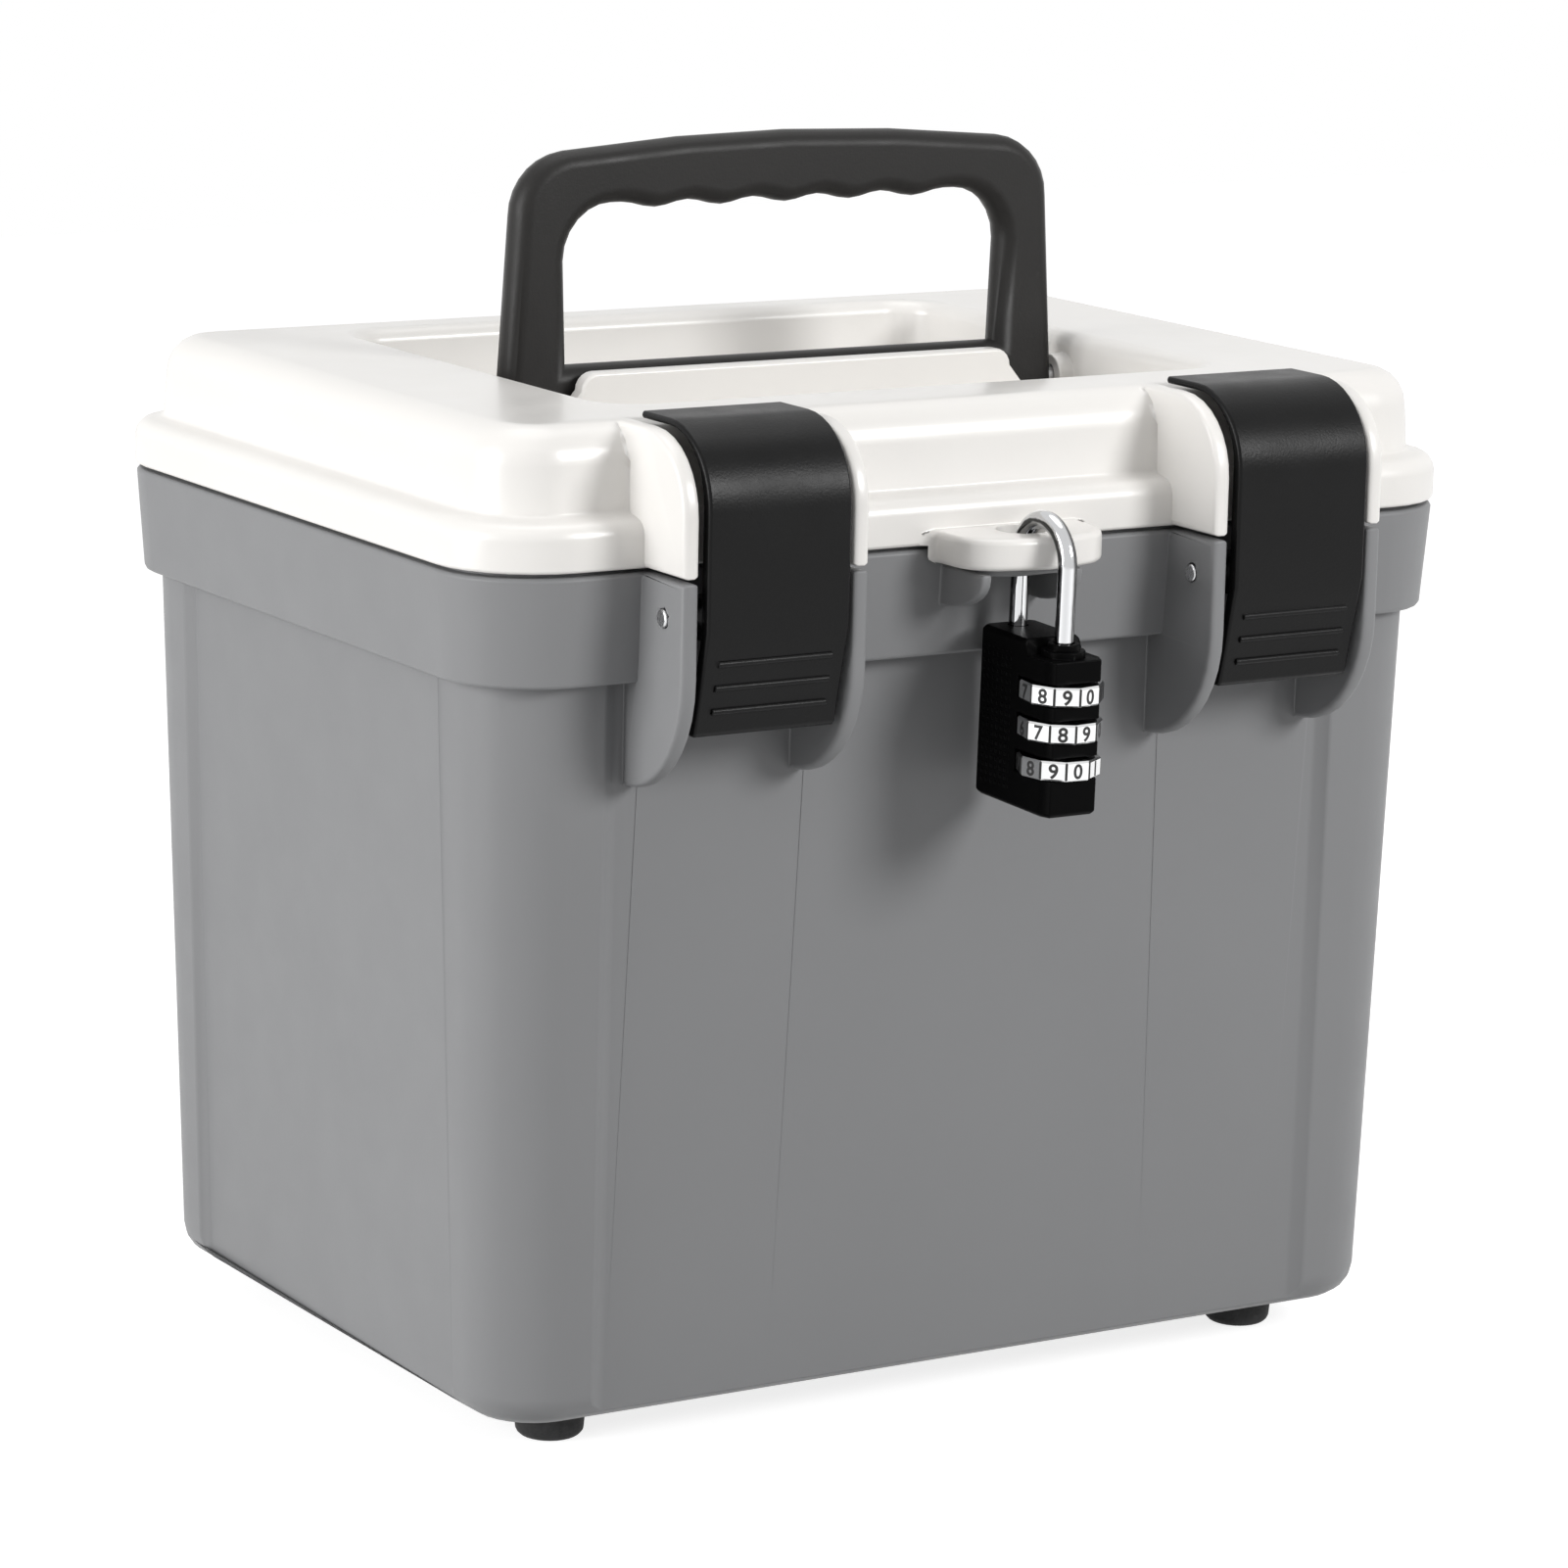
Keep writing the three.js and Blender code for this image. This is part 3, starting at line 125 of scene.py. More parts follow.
# The stage, in metres
FLOOR_SIZE = 4
FLOOR_CELLS = 4
FLOOR_COLOUR = (0.5, 0.5, 0.5)
FLOOR_GLOW = 0.8
LAMP_TARGET = Vector((0, 0, 0.12))
LEFT_LAMP_PLACE = (-1.35, 0.05, 0.46)
RIGHT_LAMP_PLACE = (0.55, -1.08, 0.7)
TOP_LAMP_PLACE = (0.1, 0.15, 1.3)
WIDE_LAMP = 0.9
NARROW_LAMP = 0.45
FRAME_WIDTH_IN_MM = 36
VIEW_END = 50

# Places and names that several operators share, all read from the frame
FEET = ("foot_front_left", "foot_front_right", "foot_rear_left", "foot_rear_right")
BODY_OF = {node: body for body, nodes in frame["record"]["behaviour"]["bodies"].items() for node in nodes}
JOINT_OF = {joint["name"]: joint for joint in frame["joints"]}
HANG = math.atan2(-JOINT_OF["shackle_pull"]["axis"][1], JOINT_OF["shackle_pull"]["axis"][2])
SLOT_OF = {part["node"]: part["material_slot"] for part in frame["record"]["subparts"]}


class FinishSettings(bpy.types.PropertyGroup):
    """Colours and grain of the finishes."""

    case_colour: bpy.props.FloatVectorProperty(
        name="Case colour", description="Grey of the moulded case", subtype="COLOR", size=3,
        min=0, max=1, default=(0.216, 0.218, 0.223))
    lid_colour: bpy.props.FloatVectorProperty(
        name="Lid colour", description="Warm white of the moulded lid", subtype="COLOR", size=3,
        min=0, max=1, default=(0.785, 0.767, 0.74))
    latch_colour: bpy.props.FloatVectorProperty(
        name="Latch colour", description="Black of the latches", subtype="COLOR", size=3,
        min=0, max=1, default=(0.002, 0.002, 0.0021))
    handle_colour: bpy.props.FloatVectorProperty(
        name="Handle colour", description="Charcoal of the carry handle", subtype="COLOR", size=3,
        min=0, max=1, default=(0.0165, 0.0157, 0.0151))
    padlock_colour: bpy.props.FloatVectorProperty(
        name="Padlock colour", description="Black of the padlock's body", subtype="COLOR", size=3,
        min=0, max=1, default=(0.0016, 0.0016, 0.0017))
    grain: bpy.props.FloatProperty(
        name="Grain", description="Width of one grain of the moulded texture",
        unit="LENGTH", min=0.0001, max=0.002, default=0.00055)


class EdgeSettings(bpy.types.PropertyGroup):
    """Radii of the small moulded edges."""

    case_edge: bpy.props.FloatProperty(
        name="Case edge", description="Radius of the case's small edges",
        unit="LENGTH", min=0.0001, max=0.001, default=0.0005)
    lid_edge: bpy.props.FloatProperty(
        name="Lid edge", description="Radius of the lid's small edges",
        unit="LENGTH", min=0.0001, max=0.001, default=0.0004)
    latch_edge: bpy.props.FloatProperty(
        name="Latch edge", description="Radius of the latches' small edges",
        unit="LENGTH", min=0.0001, max=0.001, default=0.0003)
    padlock_edge: bpy.props.FloatProperty(
        name="Padlock edge", description="Radius of the padlock's small edges",
        unit="LENGTH", min=0.0001, max=0.001, default=0.0003)
    sharp_angle: bpy.props.FloatProperty(
        name="Sharp angle", description="Edges that turn more than this are rounded",
        subtype="ANGLE", min=0.1, max=1.5, default=math.radians(32))


class DialSettings(bpy.types.PropertyGroup):
    """The digits of the padlock's number wheels."""

    digit_height: bpy.props.FloatProperty(
        name="Digit height", description="Height of a digit on a dial",
        unit="LENGTH", min=0.001, max=0.004, default=0.003)
    digit_relief: bpy.props.FloatProperty(
        name="Digit relief", description="Thickness of the digits' paint",
        unit="LENGTH", min=0.00001, max=0.0002, default=0.00004)
    digit_boldness: bpy.props.FloatProperty(
        name="Digit boldness", description="How much wider each stroke is on either side",
        unit="LENGTH", min=0, max=0.0002, default=0.0001)
    groove_width: bpy.props.FloatProperty(
        name="Groove width", description="Width of the groove between two faces of a dial",
        unit="LENGTH", min=0.0001, max=0.001, default=0.0006)
    top_front: bpy.props.IntProperty(
        name="Top digit", description="Digit that the top dial shows in front", min=0, max=9, default=0)
    middle_front: bpy.props.IntProperty(
        name="Middle digit", description="Digit that the middle dial shows in front", min=0, max=9, default=9)
    bottom_front: bpy.props.IntProperty(
        name="Bottom digit", description="Digit that the bottom dial shows in front", min=0, max=9, default=0)


class StageSettings(bpy.types.PropertyGroup):
    """Camera and light."""

    azimuth: bpy.props.FloatProperty(
        name="Azimuth", description="Turn of the camera round the box, to the left of its front",
        subtype="ANGLE", default=math.radians(-31.1066))
    elevation: bpy.props.FloatProperty(
        name="Elevation", description="Height of the camera above the horizon",
        subtype="ANGLE", default=math.radians(12.4783))
    roll: bpy.props.FloatProperty(
        name="Roll", description="Tilt of the camera about its view",
        subtype="ANGLE", default=math.radians(1.1589))
    target_height: bpy.props.FloatProperty(
        name="Target height", description="Height of the point that the camera is turned to",
        unit="LENGTH", min=0, default=0.10833)
    distance: bpy.props.FloatProperty(
        name="Distance", description="From the camera to the middle of the case",
        unit="LENGTH", min=0.3, default=1.307642)
    lens: bpy.props.FloatProperty(
        name="Lens", description="Focal length on a 36 mm frame, in millimetres", min=20, default=133.123)
    shift_x: bpy.props.FloatProperty(name="Shift X", description="Sideways framing shift", default=0.006907)
    shift_y: bpy.props.FloatProperty(name="Shift Y", description="Upward framing shift", default=0.036028)
    ambient: bpy.props.FloatProperty(
        name="Ambient", description="Strength of the light from all round", min=0, default=0.36)
    left_power: bpy.props.FloatProperty(
        name="Left lamp", description="Power of the soft lamp on the left", unit="POWER", min=0, default=15.5)
    right_power: bpy.props.FloatProperty(
        name="Right lamp", description="Power of the lamp in front on the right", unit="POWER",
        min=0, default=10.3)
    top_power: bpy.props.FloatProperty(
        name="Top lamp", description="Power of the lamp above", unit="POWER", min=0, default=3.5)


SETTINGS = (
    ("lock_box_finish", FinishSettings),
    ("lock_box_edges", EdgeSettings),
    ("lock_box_dials", DialSettings),
    ("lock_box_stage", StageSettings),
)


# Modelling

def pick(*pieces):
    """Selects only these pieces and makes the first one active."""
    bpy.ops.object.select_all(action="DESELECT")
    for piece in pieces:
        piece.select_set(True)
    bpy.context.view_layer.objects.active = pieces[0]


def settle(piece):
    """Applies the piece's place, turn and size, so that its object sits at the origin."""
    pick(piece)
    bpy.ops.object.transform_apply(location=True, rotation=True, scale=True)


def apply_modifier(piece, kind, **values):
    """Adds one modifier, sets its values and applies it."""
    pick(piece)
    modifier = piece.modifiers.new(kind.title(), kind)
    for name, value in values.items():
        setattr(modifier, name, value)
    bpy.ops.object.modifier_apply(modifier=modifier.name)


def shade(piece, angle):
    """Smooth shading that keeps flat faces flat and edges past the angle sharp."""
    pick(piece)
    bpy.ops.object.shade_smooth_by_angle(angle=angle)
    apply_modifier(piece, "WEIGHTED_NORMAL", weight=60, keep_sharp=True)


def face_width(mesh, face, start, along):
    """How far the face reaches from the line through start."""
    reach = 0
    for index in face.vertices:
        offset = mesh.vertices[index].co - start
        reach = max(reach, (offset - along * offset.dot(along)).length)
    return reach


def is_outer_edge(sides, angle):
    """Whether the edge's two faces meet in an outer corner and turn at least the angle."""
    if len(sides) != 2:
        return False
    face, other = sides
    is_sharp = face.normal.angle(other.normal, 0) >= angle
    is_inner_corner = (other.center - face.center).dot(face.normal) > 0
    return is_sharp and not is_inner_corner


def round_edges(piece, radius, angle, segments=BEVEL_SEGMENTS):
    """Rounds every outer edge that turns more than the angle, and less so where its faces are narrow."""
    mesh = piece.data
    weights = mesh.attributes.new("bevel_weight_edge", "FLOAT", "EDGE")
    faces_at = {}
    for face in mesh.polygons:
        for key in face.edge_keys:
            faces_at.setdefault(key, []).append(face)
    for edge in mesh.edges:
        sides = faces_at.get(tuple(sorted(edge.vertices)), [])
        if not is_outer_edge(sides, angle):
            continue
        start, end = (mesh.vertices[index].co for index in edge.vertices)
        along = (end - start).normalized()
        room = min(face_width(mesh, face, start, along) for face in sides)
        weights.data[edge.index].value = min(1, BEVEL_SHARE * room / radius)
    apply_modifier(
        piece, "BEVEL", width=radius, segments=segments, limit_method="WEIGHT",
        use_clamp_overlap=False, miter_outer="MITER_ARC")


def cuts_beside_ears():
    """Where the long faces are divided, a little way from the ears and cheeks beside each latch."""
    cuts = []
    for side in ("left", "right"):
        latch_low, latch_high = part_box("latch_" + side)
        pin_low, pin_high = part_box("latch_pin_" + side)
        cuts += [
            pin_low.x + PIN_PROUD - CUT_MARGIN,
            latch_low.x - EAR_GAP + CUT_MARGIN,
            latch_high.x + EAR_GAP - CUT_MARGIN,
            pin_high.x - PIN_PROUD + CUT_MARGIN,
        ]
    return cuts


def cut_across(piece, places):
    """Divides every face that crosses an upright plane at one of these places along X."""
    pick(piece)
    bpy.ops.object.mode_set(mode="EDIT")
    for place in places:
        bpy.ops.mesh.select_all(action="SELECT")
        bpy.ops.mesh.bisect(plane_co=(place, 0, 0), plane_no=(1, 0, 0))
    bpy.ops.object.mode_set(mode="OBJECT")


def merged_copy(node, name):
    """A copy of a CAD node as one clean mesh, which stands for the node."""
    piece = bpy.data.objects.new(name, frame["nodes"][node].data.copy())
    bpy.context.collection.objects.link(piece)
    pick(piece)
    bpy.ops.object.mode_set(mode="EDIT")
    bpy.ops.mesh.select_all(action="SELECT")
    bpy.ops.mesh.remove_doubles(threshold=WELD)
    bpy.ops.mesh.dissolve_limited(angle_limit=COPLANAR)
    bpy.ops.object.mode_set(mode="OBJECT")
    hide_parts(node)
    return piece


def rounded_copy(node, name, radius, angle, segments=BEVEL_SEGMENTS, cuts=()):
    """A merged copy of a CAD node with rounded outer edges and smooth round faces."""
    piece = merged_copy(node, name)
    if cuts:
        cut_across(piece, cuts)
    round_edges(piece, radius, angle, segments)
    shade(piece, angle)
    return piece


def finish_piece(piece, body, material):
    """Gives the piece its material and the body that it rides on."""
    piece.data.materials.clear()
    piece.data.materials.append(material)
    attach(piece, body)


# Materials

# The ranges that most values of a noise fill, and the whole range of a share
NOISE_MIDDLE = (0.35, 0.65)
NOISE_SPREAD = (0.3, 0.7)
WHOLE = (0, 1)


def new_material(name):
    """A material with one principled shader, as the material, its node tree and the shader."""
    material = bpy.data.materials.new(name)
    material.use_nodes = True
    tree = material.node_tree
    tree.nodes.clear()
    output = tree.nodes.new("ShaderNodeOutputMaterial")
    shader = tree.nodes.new("ShaderNodeBsdfPrincipled")
    tree.links.new(shader.outputs["BSDF"], output.inputs["Surface"])
    return material, tree, shader


def add_noise(tree, size, detail=2.0, roughness=0.5, stretch=(1, 1, 1)):
    """Noise in object space whose features are about size metres across."""
    place = tree.nodes.new("ShaderNodeTexCoord")
    mapping = tree.nodes.new("ShaderNodeMapping")
    mapping.inputs["Scale"].default_value = stretch
    noise = tree.nodes.new("ShaderNodeTexNoise")
    noise.inputs["Scale"].default_value = 1 / size
    noise.inputs["Detail"].default_value = detail
    noise.inputs["Roughness"].default_value = roughness
    tree.links.new(place.outputs["Object"], mapping.inputs["Vector"])
    tree.links.new(mapping.outputs["Vector"], noise.inputs["Vector"])
    return noise.outputs["Fac"]


def add_range(tree, value, source, target):
    """Maps a value from one range to another, and holds it inside."""
    node = tree.nodes.new("ShaderNodeMapRange")
    for name, end in zip(("From Min", "From Max", "To Min", "To Max"), (*source, *target)):
        node.inputs[name].default_value = end
    tree.links.new(value, node.inputs["Value"])
    return node.outputs["Result"]


def add_mix(tree, share, colour_a, colour_b):
    """Mixes two colours, each a plain colour or a socket."""
    node = tree.nodes.new("ShaderNodeMix")
    node.data_type = "RGBA"
    tree.links.new(share, node.inputs["Factor"])
    for socket, colour in ((node.inputs["A"], colour_a), (node.inputs["B"], colour_b)):
        if isinstance(colour, bpy.types.NodeSocket):
            tree.links.new(colour, socket)
        else:
            socket.default_value = (*colour[:3], 1)
    return node.outputs["Result"]


def add_math(tree, operation, first, second=0):
    """One sum on two values, each a plain number or a socket."""
    node = tree.nodes.new("ShaderNodeMath")
    node.operation = operation
    for socket, value in zip(node.inputs, (first, second)):
        if isinstance(value, bpy.types.NodeSocket):
            tree.links.new(value, socket)
        else:
            socket.default_value = value
    return node.outputs["Value"]


def add_bump(tree, height, distance, strength, below=None):
    """Relief from a height, on top of the relief below."""
    node = tree.nodes.new("ShaderNodeBump")
    node.inputs["Distance"].default_value = distance
    node.inputs["Strength"].default_value = strength
    tree.links.new(height, node.inputs["Height"])
    if below is not None:
        tree.links.new(below, node.inputs["Normal"])
    return node.outputs["Normal"]


def add_seen_rays(tree):
    """1 for what the camera sees, directly, in a reflection or through glass, and 0 for cast light."""
    rays = tree.nodes.new("ShaderNodeLightPath")
    seen = add_math(tree, "MAXIMUM", rays.outputs["Is Camera Ray"], rays.outputs["Is Glossy Ray"])
    return add_math(tree, "MAXIMUM", seen, rays.outputs["Is Transmission Ray"])


def scaled(colour, factor):
    """The colour, that many times as bright."""
    return tuple(min(1.0, channel * factor) for channel in colour[:3])


def moulded_plastic(name, colour, grain, *, roughness, relief, mottle, edge_light, specular, coat=0):
    """Injection-moulded plastic: fine grain, faint cloudiness, polished edges and a varying gloss."""
    material, tree, shader = new_material(name)
    cloud = add_range(tree, add_noise(tree, 45 * MM, detail=3), NOISE_MIDDLE, WHOLE)
    body = add_mix(tree, cloud, scaled(colour, 1 - mottle), scaled(colour, 1 + mottle))
    geometry = tree.nodes.new("ShaderNodeNewGeometry")
    convex_edge = (0.515, 0.6)
    polish = (0, 0.55)
    polished = add_range(tree, geometry.outputs["Pointiness"], convex_edge, polish)
    body = add_mix(tree, polished, body, scaled(colour, edge_light))
    tree.links.new(body, shader.inputs["Base Color"])
    fine = add_noise(tree, grain, detail=3, roughness=0.6)
    patches = add_noise(tree, 12 * MM, detail=4)
    gloss = add_math(tree, "ADD", patches, add_math(tree, "MULTIPLY", fine, 0.35))
    gloss_range = (0.45, 0.95)
    rough_range = (roughness - 0.05, roughness + 0.07)
    tree.links.new(add_range(tree, gloss, gloss_range, rough_range), shader.inputs["Roughness"])
    flow = add_bump(tree, add_noise(tree, 30 * MM, detail=1), distance=0.2 * MM, strength=0.15)
    skin = add_bump(tree, fine, distance=relief, strength=0.6, below=flow)
    tree.links.new(skin, shader.inputs["Normal"])
    shader.inputs["Specular IOR Level"].default_value = specular
    shader.inputs["Coat Weight"].default_value = coat
    shader.inputs["Coat Roughness"].default_value = 0.18
    return material


def polished_metal(name, colour, *, roughness, along, scratch, tones, patch):
    """Drawn or brushed metal: patches between two tones, and fine scratches along the piece."""
    material, tree, shader = new_material(name)
    lines = add_noise(tree, 0.4 * MM, detail=4, roughness=0.6, stretch=along)
    cloud = add_noise(tree, patch, detail=3, stretch=along)
    tone = add_range(tree, cloud, NOISE_MIDDLE, WHOLE)
    dull, bright = (scaled(colour, factor) for factor in tones)
    tree.links.new(add_mix(tree, tone, dull, bright), shader.inputs["Base Color"])
    rough_range = (roughness * 0.7, roughness * 1.5)
    tree.links.new(add_range(tree, lines, NOISE_SPREAD, rough_range), shader.inputs["Roughness"])
    tree.links.new(add_bump(tree, lines, distance=0.02 * MM, strength=scratch), shader.inputs["Normal"])
    shader.inputs["Metallic"].default_value = 1
    return material


def chrome_wire(name):
    """Bright plating on a bent wire, with painted reflections: dark and bright streaks along its sides, set by the
    normal's X.
    """
    material, tree, shader = new_material(name)
    # Painted reflection: the base colour follows which way the surface faces across the wire
    geometry = tree.nodes.new("ShaderNodeNewGeometry")
    axes = tree.nodes.new("ShaderNodeSeparateXYZ")
    tree.links.new(geometry.outputs["Normal"], axes.inputs["Vector"])
    sway = add_range(tree, add_noise(tree, 4 * MM), WHOLE, (-0.07, 0.07))
    across = add_range(tree, add_math(tree, "ADD", axes.outputs["X"], sway), (-1, 1), WHOLE)
    ramp = tree.nodes.new("ShaderNodeValToRGB")
    stops = ramp.color_ramp.elements
    for place, tone in CHROME_PAINTED_REFLECTIONS:
        stop = stops.new(place)
        stop.color = (*CHROME_REFLECTION_TONES[tone], 1)
    stops.remove(stops[0])
    stops.remove(stops[-1])
    tree.links.new(across, ramp.inputs["Fac"])
    tree.links.new(ramp.outputs["Color"], shader.inputs["Base Color"])
    haze = add_noise(tree, 0.8 * MM, detail=3)
    tree.links.new(add_range(tree, haze, NOISE_SPREAD, (0.05, 0.12)), shader.inputs["Roughness"])
    tree.links.new(add_bump(tree, haze, distance=0.01 * MM, strength=0.1), shader.inputs["Normal"])
    shader.inputs["Metallic"].default_value = 1
    return material


def matt_rubber(name, colour):
    """Rubber with a dull, pitted skin."""
    material, tree, shader = new_material(name)
    pits = add_noise(tree, 0.6 * MM, detail=4, roughness=0.7)
    dust = add_range(tree, add_noise(tree, 4 * MM, detail=4), (0.45, 0.75), WHOLE)
    tree.links.new(add_mix(tree, dust, colour, scaled(colour, 1.7)), shader.inputs["Base Color"])
    tree.links.new(add_range(tree, pits, NOISE_SPREAD, (0.65, 0.85)), shader.inputs["Roughness"])
    tree.links.new(add_bump(tree, pits, distance=0.1 * MM, strength=0.5), shader.inputs["Normal"])
    shader.inputs["Specular IOR Level"].default_value = 0.3
    return material


def gridded_plastic(name, colour, pitch, low, high):
    """Black lock plastic with fine squares on the faces across X, between low and high in Y and Z."""
    material, tree, shader = new_material(name)
    place = tree.nodes.new("ShaderNodeTexCoord")
    axes = tree.nodes.new("ShaderNodeSeparateXYZ")
    tree.links.new(place.outputs["Object"], axes.inputs["Vector"])
    geometry = tree.nodes.new("ShaderNodeNewGeometry")
    facing = tree.nodes.new("ShaderNodeSeparateXYZ")
    tree.links.new(geometry.outputs["True Normal"], facing.inputs["Vector"])
    square_top = (-0.2, 0.6)
    waves = []
    inside = []
    for axis, start, end in (("Y", low[0], high[0]), ("Z", low[1], high[1])):
        turn = add_math(tree, "MULTIPLY", axes.outputs[axis], 2 * math.pi / pitch)
        waves.append(add_range(tree, add_math(tree, "SINE", turn), square_top, WHOLE))
        after = add_math(tree, "GREATER_THAN", axes.outputs[axis], start)
        before = add_math(tree, "LESS_THAN", axes.outputs[axis], end)
        inside.append(add_math(tree, "MULTIPLY", after, before))
    squarely_sideways = 0.97
    wide = add_math(tree, "GREATER_THAN", add_math(tree, "ABSOLUTE", facing.outputs["X"]), squarely_sideways)
    field = add_math(tree, "MULTIPLY", add_math(tree, "MULTIPLY", *inside), wide)
    squares = add_math(tree, "MULTIPLY", add_math(tree, "MULTIPLY", *waves), field)
    fine = add_noise(tree, 0.4 * MM, detail=3)
    tree.links.new(add_mix(tree, squares, colour, scaled(colour, 1.6)), shader.inputs["Base Color"])
    tree.links.new(add_range(tree, fine, NOISE_SPREAD, (0.28, 0.4)), shader.inputs["Roughness"])
    grain = add_bump(tree, fine, distance=0.04 * MM, strength=0.4)
    relief = add_bump(tree, squares, distance=0.15 * MM, strength=0.8, below=grain)
    tree.links.new(relief, shader.inputs["Normal"])
    shader.inputs["Specular IOR Level"].default_value = 0.03
    return material


def digit_paint(name):
    """Black print of the dials' digits, and painted shade in their grooves, a little worn."""
    material, tree, shader = new_material(name)
    worn = add_range(tree, add_noise(tree, 0.5 * MM, detail=4), (0.55, 0.8), WHOLE)
    tree.links.new(add_mix(tree, worn, DIGIT_PRINT_AND_GROOVE_SHADE_COLOUR, WORN_DIGIT_COLOUR), shader.inputs["Base Color"])
    shader.inputs["Roughness"].default_value = 0.5
    return material


def white_stage(name, colour, glow):
    """A floor that looks white to the camera and in reflections, and still takes the object's shadow."""
    material, tree, shader = new_material(name)
    tone = add_noise(tree, 0.4)
    tree.links.new(add_mix(tree, tone, scaled(colour, 0.97), colour), shader.inputs["Base Color"])
    emission = add_math(tree, "MULTIPLY", add_seen_rays(tree), glow)
    tree.links.new(emission, shader.inputs["Emission Strength"])
    shader.inputs["Emission Color"].default_value = (1, 1, 1, 1)
    shader.inputs["Roughness"].default_value = 0.9
    shader.inputs["Specular IOR Level"].default_value = 0.1
    return material


# Operators

class LOCKBOX_OT_case(bpy.types.Operator):
    """Rounds the edges of the case and gives it grained grey plastic"""

    bl_idname = "lockbox.case"
    bl_label = "Case"
    bl_options = {"REGISTER", "UNDO"}

    def execute(self, context):
        edges = context.scene.lock_box_edges
        finish = context.scene.lock_box_finish
        piece = rounded_copy(
            "case_body", "case_shell", edges.case_edge, edges.sharp_angle, cuts=cuts_beside_ears())
        material = moulded_plastic(
            "case_grey_plastic", finish.case_colour, finish.grain,
            roughness=0.48, relief=0.03 * MM, mottle=0.012, edge_light=1.15, specular=0.35)
        finish_piece(piece, "case", material)
        return {"FINISHED"}


class LOCKBOX_OT_feet(bpy.types.Operator):
    """Rounds the four feet and gives them rubber"""

    bl_idname = "lockbox.feet"
    bl_label = "Feet"
    bl_options = {"REGISTER", "UNDO"}

    def execute(self, context):
        edges = context.scene.lock_box_edges
        material = matt_rubber("foot_rubber", RUBBER_COLOUR)
        for node in FEET:
            piece = rounded_copy(node, node + "_pad", edges.case_edge, edges.sharp_angle)
            finish_piece(piece, "case", material)
        return {"FINISHED"}


class LOCKBOX_OT_lid(bpy.types.Operator):
    """Rounds the edges of the lid and gives it white plastic"""

    bl_idname = "lockbox.lid"
    bl_label = "Lid"
    bl_options = {"REGISTER", "UNDO"}

    def execute(self, context):
        edges = context.scene.lock_box_edges
        finish = context.scene.lock_box_finish
        piece = rounded_copy(
            "lid_shell", "lid_moulding", edges.lid_edge, edges.sharp_angle, cuts=cuts_beside_ears())
        material = moulded_plastic(
            "lid_white_plastic", finish.lid_colour, finish.grain,
            roughness=0.34, relief=0.02 * MM, mottle=0.01, edge_light=1.05, specular=0.5, coat=0.25)
        finish_piece(piece, "lid", material)
        return {"FINISHED"}


class LOCKBOX_OT_handle(bpy.types.Operator):
    """Smooths the carry handle and gives it charcoal plastic"""

    bl_idname = "lockbox.handle"
    bl_label = "Handle"
    bl_options = {"REGISTER", "UNDO"}

    def execute(self, context):
        finish = context.scene.lock_box_finish
        piece = merged_copy("handle", "carry_handle_grip")
        shade(piece, HANDLE_SHARP)
        material = moulded_plastic(
            "handle_charcoal_plastic", finish.handle_colour, finish.grain,
            roughness=0.42, relief=0.06 * MM, mottle=0.05, edge_light=1.4, specular=0.2)
        finish_piece(piece, "carry_handle", material)
        return {"FINISHED"}


class LOCKBOX_OT_latches(bpy.types.Operator):
    """Rounds the two rocking latches and gives them grained black plastic"""

    bl_idname = "lockbox.latches"
    bl_label = "Latches"
    bl_options = {"REGISTER", "UNDO"}

    def execute(self, context):
        edges = context.scene.lock_box_edges
        finish = context.scene.lock_box_finish
        material = moulded_plastic(
            "latch_black_plastic", finish.latch_colour, finish.grain,
            roughness=0.36, relief=0.08 * MM, mottle=0.05, edge_light=2.5, specular=0.16)
        for side in ("left", "right"):
            piece = rounded_copy(
                "latch_" + side, "latch_cover_" + side, edges.latch_edge, edges.sharp_angle)
            finish_piece(piece, side + "_latch", material)
        return {"FINISHED"}


class LOCKBOX_OT_pins(bpy.types.Operator):
    """Rounds the ends of the hinge, latch and handle pins and gives them drawn steel"""

    bl_idname = "lockbox.pins"
    bl_label = "Pins"
    bl_options = {"REGISTER", "UNDO"}

    def execute(self, context):
        material = polished_metal(
            "pin_drawn_steel", PIN_COLOUR, roughness=0.28, along=(0.05, 1, 1), scratch=0.25,
            tones=(0.93, 1), patch=6 * MM)
        for node in sorted(frame["nodes"]):
            if SLOT_OF[node] != "pin":
                continue
            piece = rounded_copy(
                node, node + "_rod", PIN_END_RADIUS, ROUND_BAR_SHARP, segments=PIN_END_SEGMENTS)
            finish_piece(piece, BODY_OF[node], material)
        return {"FINISHED"}


class LOCKBOX_OT_padlock(bpy.types.Operator):
    """Rounds the padlock's body and gives it black plastic with a square texture"""

    bl_idname = "lockbox.padlock"
    bl_label = "Padlock body"
    bl_options = {"REGISTER", "UNDO"}

    def execute(self, context):
        edges = context.scene.lock_box_edges
        finish = context.scene.lock_box_finish
        piece = rounded_copy("padlock_body", "padlock_case", edges.padlock_edge, edges.sharp_angle)
        low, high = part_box("padlock_body")
        dial_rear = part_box("dial_top")[1].y
        material = gridded_plastic(
            "padlock_black_plastic", finish.padlock_colour, GRID_PITCH,
            (dial_rear, low.z + GRID_END_MARGIN), (high.y - GRID_REAR_MARGIN, high.z - GRID_END_MARGIN))
        finish_piece(piece, "padlock", material)
        return {"FINISHED"}


